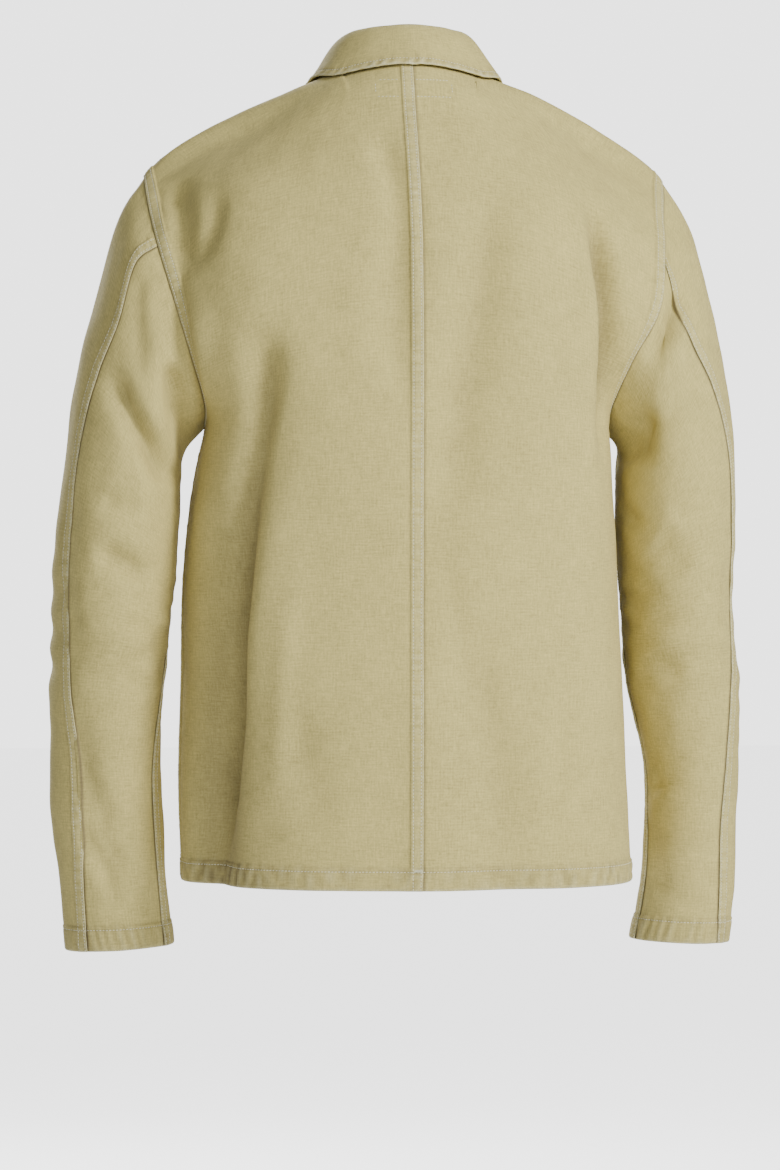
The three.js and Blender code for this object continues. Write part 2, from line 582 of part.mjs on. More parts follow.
// Part of a sleeve from one seam to the other. Its columns start at the armhole's own corners
// and spread out evenly further down.
function sleevePanel(sleeve, from, to, laps) {
  const cuffStart = sleeve.length - cuffDepth;
  const downs = [seamGap / 2, fellWidth];
  spread(fellWidth, cuffStart - fellSlope, count.sleeveDown).forEach((t) => downs.push(t));
  downs.push(cuffStart - fellSlope, cuffStart, sleeve.length);
  const first = from(0);
  const last = to(0);
  const corners = armholeAngles.flatMap((angle) => [angle, angle + 360])
    .filter((angle) => angle > first + 1 && angle < last - 1).sort((p, q) => p - q);
  const outer = [];
  const inner = [];
  for (const travel of downs) {
    const a = from(travel);
    const b = to(travel);
    const speed = sleeve.point(travel, a + 1).distanceTo(sleeve.point(travel, a - 1)) / 2;
    const lap = laps ? fellWidth / speed : 0;
    const slope = laps ? (fellWidth + fellSlope) / speed : 0;
    const even = smooth(10, 70, travel);
    const middle = corners.map((angle, i) => {
      const apart = lerp(a + slope, b - slope, (i + 1) / (corners.length + 1));
      const mapped = lerp(a, b, (angle - first) / (last - first));
      return Math.min(Math.max(lerp(mapped, apart, even), a + slope + 0.2), b - slope - 0.2);
    });
    const gap = slantGap / 2 / speed;
    const angles = laps
      ? [a + gap, a + lap, a + slope, ...middle, b - slope, b - lap, b - gap]
      : [a + gap, ...middle, b - gap];
    const outerLine = [];
    const innerLine = [];
    angles.forEach((angle, j) => {
      const nearness = 1 - clamp01(travel / fellWidth);
      const own = sleeve.normal(travel, angle);
      const normal = nearness > 0
        ? sharedNormal(own, torsoNormal(travelAtAngle(angle), sleeve.side * 0.999), nearness)
        : own;
      const onLap = laps && (j <= 1 || j >= angles.length - 2) && travel > fellWidth - 1;
      const onCuff = travel >= cuffStart - 0.01;
      const p = sleevePoint(sleeve, travel, angle);
      outerLine.push(along(p, normal, Math.max(onCuff ? hemRaise : 0, onLap ? fellRaise : 0)));
      innerLine.push(along(p, normal, -wall));
    });
    outer.push(outerLine);
    inner.push(innerLine);
  }
  return wallGeometry(outer, inner);
}

function addSleeve(sleeve, word) {
  const back = (t) => sleeve.backSeam(t);
  const front = (t) => sleeve.frontSeam(t);
  addPiece(`sleeve_under_${word}`, sleevePanel(sleeve, back, front, false));
  addPiece(`sleeve_top_${word}`, sleevePanel(sleeve, front, (t) => back(t) + 360, true));
}

// The collar. phi runs from -1 at the centre front round the right side, 0 at the centre back
// and 0.5 at the left shoulder seam, to 1.
const collar = readTable(collarColumns, collarRows);
const collarKnots = collar.map((r) => r.along);
const collarCurve = Object.fromEntries(collarColumns.slice(1).map((c) =>
  [c, curveThrough(collarKnots, collar.map((r) => r[c]))]));
const shareToPhi = (face, share) => {
  const turn = Math.asin(share) / Math.PI;
  return face === 'back' ? turn : 1 - turn;
};
const collarLast = shareToPhi('front', collarEnd);

const faceOf = (phi) => (Math.abs(phi) < 0.5 ? 'back' : 'front');
function neckShare(phi) {
  return Math.sin(Math.PI * phi) * neckPointS;
}
function neckPoint(phi) {
  const s = neckShare(phi);
  const w = topOf(faceOf(phi), s);
  const under = phi < -0.5 ? underAt(-s) : 0;
  return along(torsoPoint(w, s), torsoNormal(w, s), -under);
}
function neckFrame(phi) {
  const before = neckPoint(Math.max(-collarLast, phi - 0.02));
  const after = neckPoint(Math.min(collarLast, phi + 0.02));
  const edge = after.sub(before).normalize();
  const out = vec(edge.y, -edge.x, 0).normalize().negate();
  const up = out.clone().cross(edge).normalize();
  if (up.z < 0) up.negate();
  return { out, up };
}
function foldPoint(phi) {
  const { out, up } = neckFrame(phi);
  const lean = radians(standLean);
  const rise = along(vec(0, 0, 0), up, Math.cos(lean)).addScaledVector(out, -Math.sin(lean));
  return along(neckPoint(phi), rise, collarCurve.stand(Math.abs(phi)));
}
function leafEdge(phi) {
  const t = Math.abs(phi);
  const w = ridgeAt - collarCurve.travel(t);
  const s = solve((v) => plainX(w, v), Math.max(collarCurve.xEdge(t), 0), 0, 1) * (phi < 0 ? -1 : 1);
  return along(torsoPoint(w, s), torsoNormal(w, s), collarCurve.lift(t));
}
function bezier(points, t) {
  const k = [(1 - t) ** 3, 3 * (1 - t) ** 2 * t, 3 * (1 - t) * t * t, t ** 3];
  const p = vec(0, 0, 0);
  points.forEach((q, i) => p.addScaledVector(q, k[i]));
  return p;
}

const standFoot = 0.6; // clear of the neck edge
const foldGap = 3.4; // between the top of the stand and the leaf that folds over it
const leafRoll = 8;
const leafHang = 0.42; // the leaf falls nearly straight over this share of its height
const leafBelly = 3;
function standPoint(r, phi) {
  const foot = neckPoint(phi);
  const top = foldPoint(phi);
  const lean = top.clone().sub(foot).normalize();
  return along(foot, lean, standFoot).lerp(top, r);
}
function leafPoint(r, phi) {
  const { out, up } = neckFrame(phi);
  const start = along(foldPoint(phi), out, -collarWall).addScaledVector(up, collarWall + foldGap);
  const end = leafEdge(phi);
  const hang = along(end.clone().lerp(start, leafHang), out, leafBelly);
  return bezier([start, along(start, out, leafRoll), hang, end], r);
}

function addCollar() {
  const half = [...neckShares.back.map((t) => shareToPhi('back', t)),
    ...neckShares.front.slice(0, -1).reverse().map((t) => shareToPhi('front', t))];
  const phis = [...half.map((phi) => -phi).reverse(), 0, ...half];
  const build = (surface, rows, way, atFoot) => {
    const outer = rows.map((r) => phis.map((phi) => surface(r, phi)));
    const inner = rows.map((r, i) => phis.map((phi, j) => {
      const a = surface(Math.min(1, r + 0.02), phi).sub(surface(Math.max(0, r - 0.02), phi));
      const after = surface(r, Math.min(collarLast, phi + 0.01));
      const b = after.sub(surface(r, Math.max(-collarLast, phi - 0.01)));
      const into = b.cross(a).normalize().multiplyScalar(way);
      if (atFoot) into.lerp(atFoot(phi), 1 - smooth(0, 0.4, r)).normalize();
      return along(outer[i][j], into, collarWall);
    }));
    return wallGeometry(outer, inner);
  };
  const intoBody = (phi) => {
    const s = neckShare(phi);
    return torsoNormal(topOf(faceOf(phi), s), s).negate();
  };
  addPiece('collar_stand', build(standPoint, [0, 0.35, 0.7, 1], 1, intoBody));
  addPiece('collar_leaf', build(leafPoint, [0, 0.12, 0.3, 0.5, 0.75, 1], -1));
}

// Places on a front by x and height
function travelAtHeight(z, s) {
  return solve((w) => torsoPoint(w, s).z, z, knotOf('upperChest'), hemFrontAt);
}
function frontPlace(x, z) {
  let s = 0.4 * Math.sign(x || 1);
  let w = travelAtHeight(z, s);
  for (let i = 0; i < 8; i++) {
    const size = solve((v) => plainX(w, v), Math.abs(x), 0, 1);
    s = x < 0 ? -size : size;
    w = travelAtHeight(z, s);
  }
  return { w, s };
}

function addPocket(pocket) {
  const outer = [];
  const inner = [];
  const height = pocket.zTop - pocket.zBottom;
  const shares = [0, pocketHem / height, (pocketHem + 2) / height];
  spread(shares[2], 1, count.pocketDown - 1).forEach((t) => shares.push(t));
  shares.push(1);
  for (const share of shares) {
    const outerLine = [];
    const innerLine = [];
    for (let j = 0; j <= count.pocketAcross; j++) {
      const across = (j / count.pocketAcross) * 2 - 1;
      // the bottom corners are rounded off
      const corner = Math.max(0, share - 0.9) / 0.1;
      const x = (pocket.xMid + across * pocket.halfWidth * (1 - 0.08 * corner)) * pocket.side;
      const place = frontPlace(x, lerp(pocket.zTop, pocket.zBottom, share));
      const p = bodyPoint(place.w, place.s);
      const normal = torsoNormal(place.w, place.s);
      const raise = share <= shares[1] + 1e-6 ? pocketHemRaise : 0;
      outerLine.push(along(p, normal, pocketLift + wall + raise));
      innerLine.push(along(p, normal, pocketLift));
    }
    outer.push(outerLine);
    inner.push(innerLine);
  }
  addPiece(pocket.name, wallGeometry(outer, inner));
}

// A four-hole button, its back on the left front
function ringOf(path, x, y, radius, sides, way) {
  for (let i = 0; i < sides; i++) {
    const turn = (way * 2 * Math.PI * i) / sides;
    const corner = [x + radius * Math.cos(turn), y + radius * Math.sin(turn)];
    if (i === 0) path.moveTo(...corner);
    else path.lineTo(...corner);
  }
  path.closePath();
  return path;
}
function buttonGeometry() {
  const disc = ringOf(new THREE.Shape(), 0, 0, buttonRadius - buttonBevel, buttonSides, 1);
  for (let i = 0; i < 4; i++) {
    const turn = radians(45 + 90 * i);
    const x = holeCircle * Math.cos(turn);
    const y = holeCircle * Math.sin(turn);
    disc.holes.push(ringOf(new THREE.Path(), x, y, holeRadius + buttonBevel, holeSides, -1));
  }
  const round = new THREE.ExtrudeGeometry(disc, { depth: buttonThick - 2 * buttonBevel,
    bevelEnabled: true, bevelThickness: buttonBevel, bevelSize: buttonBevel, bevelSegments: 1 });
  round.translate(0, 0, buttonBevel);
  round.deleteAttribute('normal');
  round.deleteAttribute('uv');
  return mergeVertices(round, 1e-4);
}

function addButtons() {
  buttonHeights.forEach((z, i) => {
    const w = travelAtHeight(z, 0);
    const normal = torsoNormal(w, 0);
    const base = along(torsoPoint(w, 0), normal, buttonStandOff);
    const geometry = buttonGeometry();
    const turn = new THREE.Quaternion().setFromUnitVectors(vec(0, 0, 1), normal);
    geometry.applyQuaternion(turn);
    geometry.translate(base.x, base.y, base.z);
    addPiece(`button_${i + 1}`, geometry, thread, 0.45);
  });
}

addBack();
addFronts();
addSleeve(sleeves.left, 'left');
addSleeve(sleeves.right, 'right');
addCollar();
readTable(pocketColumns, pockets).forEach(addPocket);
addButtons();

export default jacket;
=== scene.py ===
# A khaki canvas chore jacket in its worn form, seen from behind, with nobody in it.
import math
import bpy
import numpy as np
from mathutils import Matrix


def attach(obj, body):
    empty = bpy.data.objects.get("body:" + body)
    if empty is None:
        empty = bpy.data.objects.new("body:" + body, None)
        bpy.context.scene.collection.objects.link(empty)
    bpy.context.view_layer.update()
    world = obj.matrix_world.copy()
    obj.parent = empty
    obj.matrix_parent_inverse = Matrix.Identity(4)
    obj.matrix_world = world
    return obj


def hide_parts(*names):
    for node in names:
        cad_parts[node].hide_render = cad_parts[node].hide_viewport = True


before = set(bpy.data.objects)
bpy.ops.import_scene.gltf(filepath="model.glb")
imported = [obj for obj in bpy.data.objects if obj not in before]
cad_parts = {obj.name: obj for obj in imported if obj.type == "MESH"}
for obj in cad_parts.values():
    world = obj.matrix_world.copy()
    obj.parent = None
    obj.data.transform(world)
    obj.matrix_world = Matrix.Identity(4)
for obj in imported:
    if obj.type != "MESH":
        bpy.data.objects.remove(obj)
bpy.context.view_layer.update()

mm = 0.001  # the tables and sizes below are in millimetres
print("frame loaded")

# Shared sizes of the cut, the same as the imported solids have
cut = {
    "fellWidth": 10.0, "fellRaise": 1.0, "hemDepth": 18.0, "cuffDepth": 21.0, "hemRaise": 0.8,
    "collarEnd": 0.06, "frontOverlap": 18.0, "underOffset": 3.1, "neckHalfWidth": 75.0,
    "neckBack": 72.0, "neckFront": 76.0, "foldReach": 18.0, "centreDrift": -3.0,
}
cloth = {"thick": 0.9, "step": 3.8, "tuckDepth": 0.35}
thread = {"length": 2.3, "gap": 0.55, "radius": 0.33, "sunk": 0.10, "ends": 0.30, "flat": 0.8, "above": 0.10}
fellRows = (2.0, 8.3)  # the two stitch rows of a felled seam, from its folded edge
hemRowIn = 2.2  # from the stitch row of a hem to its inner edge

# Rows of the body's shell from the back hem over the shoulder to the front hem
# Columns: zMid, yMid, xEdge, yEdge, zEdge, turn, drop, fullMid, fullEdge, dip, shift
torsoRows = {
    "hemBack": [-690, 138, 192, -4, -690, 90, 0, 0.56, 0.44, 0, -2],
    "seatBack": [-610, 141, 191, -4, -610, 90, 0, 0.57, 0.44, 0, 2],
    "hipBack": [-520, 143, 188, -4, -520, 90, 0, 0.57, 0.44, 0, 3],
    "waistBack": [-430, 144, 184, -4, -430, 91, 0, 0.56, 0.45, 0, 5],
    "ribBack": [-355, 146, 177, 0, -355, 94, 0, 0.56, 0.48, 0, 4],
    "armpitBack": [-305, 148, 172, 8, -305, 92, 0, 0.55, 0.50, 0, 0],
    "scyeLow": [-262, 149, 173, 50, -286, 84, 4, 0.53, 0.35, 0, 0],
    "scyeMid": [-205, 147, 186, 78, -248, 56, 12, 0.50, 0.27, 0, -1],
    "scyeHigh": [-145, 138, 204, 79, -205, 38, 20, 0.46, 0.26, 0, -6],
    "blade": [-92, 121, 215, 60, -152, 28, 27, 0.44, 0.26, 0, -2],
    "yoke": [-46, 100, 219, 39, -124, 18, 30, 0.30, 0.35, 0, 0],
    "nape": [2, 73, 222, 20, -103, 8, 30, 0.20, 0.44, 0, 0],
    "ridge": [8, 10, 223, 4, -90, 0, 58, 0.24, 0.18, 2, 0],
    "collarbone": [-8, -46, 221, -13, -105, -10, 30, 0.20, 0.42, 0, 0],
    "upperChest": [-62, -76, 216, -36, -134, -20, 30, 0.36, 0.31, 0, 0],
    "chest": [-122, -106, 207, -56, -172, -34, 24, 0.47, 0.27, 0, 0],
    "frontScyeMid": [-185, -125, 193, -64, -216, -50, 14, 0.50, 0.29, 0, 0],
    "frontScyeLow": [-245, -134, 179, -55, -262, -66, 6, 0.53, 0.33, 0, 0],
    "frontScyeBase": [-284, -137, 171, -26, -294, -82, 2, 0.55, 0.40, 0, 0],
    "armpitFront": [-305, -138, 172, 8, -305, -92, 0, 0.55, 0.46, 0, 0],
    "ribFront": [-355, -139, 177, 0, -355, -91, 0, 0.55, 0.45, 0, 4],
    "waistFront": [-430, -141, 184, -4, -430, -90, 0, 0.55, 0.43, 0, 5],
    "hipFront": [-520, -144, 188, -4, -520, -90, 0, 0.55, 0.43, 0, 3],
    "seatFront": [-610, -147, 191, -4, -610, -90, 0, 0.55, 0.43, 0, 2],
    "hemFront": [-690, -149, 192, -4, -690, -90, 0, 0.55, 0.43, 0, -2],
}
# Rings down a sleeve: outer end, inner end, depth and where the two seams run
sleeveColumns = ["xOut", "zOut", "xIn", "zIn", "yMid", "halfDepth", "oval", "backSeam", "frontSeam"]
sleeveRows = {
    "left": [
        [243, -124, 188, -323, 13, 76, 0.35, 50, 212],
        [261, -181, 191, -347, 11, 77, 0.75, 54, 211],
        [278, -248, 192.5, -374, 9, 76, 1, 46, 209],
        [289, -312, 194, -398, 7, 73, 1, 40, 205],
        [297, -380, 196, -428, 5, 70, 1, 38, 198],
        [300.5, -450, 201, -468, 2, 66, 1, 40, 186],
        [303, -520, 207, -526, -6, 60, 1, 50, 165],
        [303, -590, 209, -592, -16, 55, 1, 60, 148],
        [300, -655, 206, -654, -27, 50, 1, 61, 146],
        [295, -705, 202, -702, -37, 46, 1, 57, 146],
        [289, -753, 197, -748, -45, 44, 1, 53, 144],
    ],
    "right": [
        [245, -126, 184, -323, 12, 76, 0.35, 71, 205],
        [262, -184, 184, -347, 10, 78, 0.75, 67, 204],
        [275, -250, 184, -374, 8, 78, 1, 52, 203],
        [284, -314, 184, -398, 6, 76, 1, 40, 200],
        [286, -382, 186.5, -428, 4, 72, 1, 36, 196],
        [284.5, -450, 190, -466, 0, 67, 1, 33, 190],
        [292, -520, 196, -524, -8, 60, 1, 44, 182],
        [294, -590, 212, -592, -18, 54, 1, 57, 176],
        [292, -652, 214, -652, -29, 49, 1, 60, 170],
        [293, -702, 212, -700, -38, 45, 1, 58, 165],
        [289.5, -750, 204, -747, -45, 43, 1, 50, 162],
    ],
}
armholeSeams = {"left": [60, 214], "right": [70, 208]}
# The collar from the centre back to its front end
# Columns: along, stand, xEdge, travel, lift
collarRows = [
    [0, 30, 0, 50, 5], [0.17, 32.5, 38, 45, 4.6], [0.3, 34, 65, 35, 4], [0.4, 33.5, 78, 20, 3.4],
    [0.5, 31.5, 84, 2, 3.2], [0.62, 28, 88, -28, 3.4], [0.75, 25, 86, -63, 4], [0.88, 21, 75, -97, 4.2],
    [0.98, 19, 55, -128, 4.2],
]

# The main folds: place, half width, depth (below zero for a trough) and a path of [x, z]
folds = {
    "back": [
        [17, -7, [[129, -205], [126, -250], [128, -300], [134, -350], [142, -400], [150, -450]]],
        [30, -13, [[158, -330], [166, -420], [172, -520], [176, -620], [179, -690], [182, -780]]],
        [18, 5, [[112, -330], [122, -400], [132, -480], [143, -580], [156, -690], [166, -790]]],
        [10, -8, [[203, -98], [195, -110], [192, -132], [190, -165], [187, -190]]],
        [9, -5.5, [[157, -106], [162, -125], [166, -142], [172, -155], [178, -166], [186, -180]]],
        [13, 6, [[179, -185], [179, -250], [180, -300], [184, -345]]],
        [11, -5.5, [[38, -60], [28, -76], [21, -95], [18, -125], [17, -180], [16, -260], [15, -330]]],
        [20, -8, [[-66, -75], [-58, -150], [-47, -220], [-36, -285], [-26, -350], [-18, -420]]],
        [30, 4, [[-100, -80], [-104, -160], [-98, -240], [-90, -320]]],
        [42, 8, [[150, -50], [147, -120], [142, -200], [134, -290]]],
        [11, -8, [[-145, -112], [-157, -148], [-165, -182], [-168, -215], [-167, -250], [-164, -285],
                  [-158, -330]]],
        [16, 4, [[-142, -160], [-148, -220], [-148, -290], [-146, -350], [-150, -430]]],
        [12, 4, [[-188, -200], [-186, -250], [-184, -290]]],
        [24, -6, [[-44, -430], [-52, -520], [-66, -600], [-80, -690], [-90, -760]]],
        [26, 4, [[-6, -470], [-4, -560], [-10, -660], [-14, -760]]],
        [60, -12, [[168, -470], [172, -560], [176, -640], [178, -740], [180, -840]]],
    ],
    "front": [
        [12, -6, [[166, -150], [160, -190], [154, -240]]],
        [14, -6, [[-154, -140], [-146, -190], [-136, -240], [-132, -290]]],
        [24, -6, [[160, -330], [146, -400], [150, -470]]],
        [24, -7, [[-166, -340], [-152, -420], [-158, -500]]],
    ],
    "left": [
        [12, -9, [[257, -255], [243, -283], [226, -316], [205, -346], [197, -358]]],
        [11, -6, [[203, -250], [197, -280], [193, -305]]],
        [11, -4, [[272, -409], [250, -417], [230, -426], [212, -446]]],
        [13, -6, [[290, -530], [272, -602], [260, -644], [247, -677], [243, -700]]],
    ],
    "right": [
        [11, -9, [[-232, -185], [-219, -207], [-207, -228], [-196, -250]]],
        [11, -7, [[-200, -288], [-194, -316], [-190, -341]]],
        [18, -4, [[-204, -400], [-222, -410], [-242, -418]]],
        [11, -5, [[-202, -570], [-211, -606], [-224, -620]]],
    ],
}

# Finer creases in the same form; the last two tables lie on the front half of a sleeve
creases = {
    "back": [
        [8, 3, [[203, -112], [202, -131], [203, -153]]],
        [6, -2, [[211, -101], [213, -116], [213, -133]]],
        [8, -3.2, [[205, -96], [201, -137], [198, -167], [194, -210], [190, -262]]],
        [5, -1.6, [[-4, -96], [-3, -137], [-4, -228]]],
        [12, -7, [[127, -224], [127, -250], [130, -294], [136, -330], [144, -370], [152, -420]]],
        [12, -14, [[138, -330], [144, -380], [149, -430], [154, -480], [160, -530], [169, -580], [178, -624],
                  [183, -665], [187, -760]]],
        [14, 7, [[176, -330], [182, -390], [184, -450], [186, -510]]],
        [8, 2.6, [[105, -243], [108, -269], [116, -294], [122, -320], [128, -363], [133, -399], [136, -450],
                  [141, -499], [147, -540], [153, -583], [161, -622], [170, -657]]],
        [8, -14, [[-146, -100], [-156, -146], [-162, -201], [-163, -235], [-162, -270], [-160, -310],
                  [-158, -360]]],
        [12, -3, [[30, -150], [30, -200], [31, -280]]],
        [16, -3, [[99, -540], [90, -594], [80, -650]]],
        [9, -3, [[-128, -520], [-118, -580], [-112, -650]]],
        [10, -2.6, [[-20, -400], [-30, -470], [-34, -540]]],
        [10, 3, [[96, -400], [108, -470], [116, -560], [124, -650]]],
        [4, -1.6, [[192, -645], [188, -657], [183, -667]]],
        [4, -1.5, [[-141, -654], [-130, -660], [-118, -664]]],
        [10, -3, [[192, -560], [184, -590], [174, -611], [166, -630]]],
    ],
    "front": [
        [9, -5.5, [[186, -160], [174, -196], [160, -226], [140, -250]]],
        [8, -5, [[-182, -165], [-168, -200], [-156, -236], [-130, -262]]],
        [12, -5, [[142, -318], [116, -350], [84, -372]]],
        [16, -5, [[-60, -300], [-84, -352], [-120, -388], [-150, -402]]],
        [20, 4, [[60, -390], [66, -440], [58, -486]]],
        [10, -4, [[8, -330], [20, -380], [26, -440]]],
        [9, -6, [[178, -400], [166, -480], [164, -560], [170, -640]]],
        [9, -6, [[-180, -420], [-168, -500], [-170, -580], [-176, -650]]],
        [8, -3.5, [[-2, -218], [18, -236], [44, -246]]],
        [8, -3.5, [[-20, -330], [-44, -352], [-70, -360]]],
        [9, -3.5, [[-24, -560], [-52, -590], [-84, -604]]],
        [30, -4, [[-100, -90], [-112, -150], [-108, -220]]],
        [26, -4, [[120, -80], [116, -130], [128, -170]]],
    ],
    "left": [
        [8, -3.2, [[227, -165], [231, -200], [230, -233], [230, -267]]],
        [9, 3, [[245, -271], [228, -294], [211, -317]]],
        [9, -6, [[258, -252], [246, -278], [230, -302], [214, -328], [200, -352]]],
        [8, -4.5, [[205, -245], [198, -270], [190, -300], [184, -340]]],
        [10, -4.5, [[268, -417], [251, -415], [235, -421], [218, -441]]],
        [8, -3.5, [[262, -366], [244, -372], [224, -370]]],
        [8, -4, [[279, -631], [271, -659], [260, -678], [251, -697], [246, -712]]],
        [11, -2, [[263, -630], [247, -639], [231, -652]]],
        [9, -2.4, [[283, -341], [286, -400], [286, -467], [283, -535]]],
    ],
    "right": [
        [8, -4, [[-228, -206], [-218, -222], [-207, -246], [-196, -272]]],
        [7, -4.5, [[-176, -365], [-187, -377], [-199, -393]]],
        [14, -2.4, [[-221, -385], [-239, -377], [-256, -383]]],
        [12, -1.8, [[-197, -271], [-222, -279], [-251, -281]]],
        [9, -3.4, [[-186, -404], [-190, -442], [-198, -485]]],
        [10, -1.8, [[-206, -494], [-220, -509], [-235, -517]]],
        [7, -3.8, [[-212, -632], [-217, -662], [-222, -692], [-226, -714]]],
        [6, -3, [[-195, -286], [-196, -307], [-190, -341]]],
    ],
    "leftFront": [
        [9, -6, [[214, -180], [208, -214], [200, -250], [196, -290]]],
        [10, -8, [[282, -372], [258, -392], [232, -402], [208, -398]]],
        [9, -7, [[290, -418], [262, -430], [236, -434], [212, -452]]],
        [10, 3, [[286, -396], [260, -411], [232, -418]]],
        [9, -6, [[280, -470], [256, -486], [230, -486]]],
        [12, -5, [[262, -560], [248, -604], [240, -650]]],
        [9, -5, [[214, -668], [236, -690], [262, -700]]],
    ],
    "rightFront": [
        [9, -6, [[-212, -176], [-206, -216], [-198, -262]]],
        [10, -8, [[-276, -366], [-250, -384], [-222, -392], [-198, -388]]],
        [9, -7, [[-280, -410], [-256, -426], [-226, -428], [-202, -446]]],
        [10, 3, [[-278, -390], [-252, -406], [-224, -410]]],
        [9, -5.5, [[-276, -462], [-250, -474], [-216, -480]]],
        [12, -5, [[-268, -548], [-252, -590], [-246, -640]]],
        [8, -5, [[-226, -660], [-250, -684], [-276, -690]]],
    ],
}


def smooth(a, b, v):
    t = np.clip((v - a) / (b - a), 0, 1)
    return t * t * (3 - 2 * t)


def mix(a, b, t):
    return a + (b - a) * t


def unit(v):
    return v / np.maximum(np.linalg.norm(v, axis=-1, keepdims=True), 1e-12)


def hill(x, at, width):
    return np.exp(-((x - at) / width)**2)


def through(knots, values, corners=()):
    knots = np.asarray(knots, float)
    values = np.asarray(values, float)
    gaps = np.diff(knots).reshape((-1,) + (1,) * (values.ndim - 1))
    rise = np.diff(values, axis=0) / gaps
    middle = (rise[:-1] * gaps[1:] + rise[1:] * gaps[:-1]) / (gaps[:-1] + gaps[1:])
    slopeIn = np.concatenate([rise[:1], middle, rise[-1:]])
    slopeOut = slopeIn.copy()
    for i in corners:
        slopeIn[i] = rise[i - 1]
        slopeOut[i] = rise[i]

    def at(t):
        i = np.clip(np.searchsorted(knots, t, side="left") - 1, 0, len(knots) - 2)
        span = knots[i + 1] - knots[i]
        f = (t - knots[i]) / span
        if values.ndim == 2:
            low, high, a, b = values[i], values[i + 1], slopeOut[i], slopeIn[i + 1]
        else:
            each = np.arange(len(t))
            low, high, a, b = values[i, each], values[i + 1, each], slopeOut[i, each], slopeIn[i + 1, each]
        f = f[:, None]
        span = span[:, None]
        return ((2 * f**3 - 3 * f**2 + 1) * low + (f**3 - 2 * f**2 + f) * span * a
                + (3 * f**2 - 2 * f**3) * high + (f**3 - f**2) * span * b)
    return at


# The body's shell: s runs from -1 at a row's right edge to 1 at its left edge, w down the rows
torsoTable = np.array(list(torsoRows.values()), float)
torsoNames = list(torsoRows)
rowStep = np.diff(torsoTable, axis=0)
torsoKnots = np.concatenate([[0], np.cumsum(
    (np.hypot(rowStep[:, 0], rowStep[:, 1]) + np.linalg.norm(rowStep[:, 2:5], axis=1)) / 2)])
armpits = [torsoNames.index("armpitBack"), torsoNames.index("armpitFront")]
torsoCurve = through(torsoKnots, torsoTable)
edgeCurve = through(torsoKnots, torsoTable[:, 2:5], armpits)
ridgeAt = torsoKnots[torsoNames.index("ridge")]
armpitBackAt, armpitFrontAt = torsoKnots[armpits]
hemFrontAt = torsoKnots[-1]


def rowShape(w):
    zMid, yMid, xEdge, yEdge, zEdge, turn, drop, fullMid, fullEdge, dip, shift = torsoCurve(w).T
    start = np.stack([np.zeros(len(w)), yMid, zMid], axis=1)
    smoothEnd = np.stack([xEdge, yEdge, zEdge], axis=1)
    span = np.linalg.norm(start - smoothEnd, axis=1)
    turn, drop = np.radians(turn), np.radians(drop)
    heading = np.stack([np.cos(turn) * np.cos(drop), -np.sin(turn) * np.cos(drop), -np.sin(drop)], axis=1)
    one = np.stack([fullMid * span, yMid, zMid - dip], axis=1)
    two = smoothEnd - heading * (fullEdge * span)[:, None]
    return start, one, two, edgeCurve(w), shift, 3 * fullEdge * span


def bezier(points, t):
    t = t[:, None]
    return ((1 - t)**3 * points[0] + 3 * (1 - t)**2 * t * points[1]
            + 3 * (1 - t) * t * t * points[2] + t**3 * points[3])


def torsoPoint(w, s):
    shape = np.broadcast(w, s).shape
    w = np.broadcast_to(w, shape).astype(float).ravel()
    s = np.broadcast_to(s, shape).astype(float).ravel()
    *handles, shift, _ = rowShape(w)
    t = np.abs(s)
    p = bezier(handles, t)
    drift = cut["centreDrift"] * smooth(20, 200, np.abs(w - ridgeAt))
    p[:, 0] = np.where(s < 0, -p[:, 0], p[:, 0]) + mix(drift, shift, t * t)
    return p.reshape(shape + (3,))


def edgeSpeed(w):
    return rowShape(np.ravel(w))[5].reshape(np.shape(w))


def normalOf(surface, a, b, stepA, stepB):
    da = surface(a + stepA, b) - surface(a - stepA, b)
    db = surface(a, b + stepB) - surface(a, b - stepB)
    return unit(np.cross(da, db))


def torsoNormal(w, s):
    return normalOf(torsoPoint, np.clip(w, 1, hemFrontAt - 1), np.clip(s, -0.995, 0.995), 0.5, 0.004)


# The armhole seen from the side: an angle round its middle and a reach against a full oval
scye = {"yMid": 8, "zMid": -197.5, "halfDepth": 74, "halfHeight": 107.5}


def scyeShape(w):
    edge = edgeCurve(np.ravel(w))
    back = (edge[:, 1] - scye["yMid"]) / scye["halfDepth"]
    up = (edge[:, 2] - scye["zMid"]) / scye["halfHeight"]
    angle = np.degrees(np.arctan2(back, up))
    angle = np.where((np.ravel(w) > ridgeAt) & (angle < 0), angle + 360, angle)
    return angle.reshape(np.shape(w)), np.hypot(back, up).reshape(np.shape(w))


backTravels = np.linspace(armpitBackAt, ridgeAt, 1500)
frontTravels = np.linspace(ridgeAt + 1e-6, armpitFrontAt, 1500)
backAngles = scyeShape(backTravels)[0]
frontAngles = scyeShape(frontTravels)[0]


def travelAtAngle(angle):
    turned = np.mod(angle, 360)
    turned = np.where(turned > frontAngles[0], turned - 360, turned)
    onBack = np.interp(turned, backAngles[::-1], backTravels[::-1])
    onFront = np.interp(turned, frontAngles[::-1], frontTravels[::-1])
    return np.where(turned <= 180, onBack, onFront)


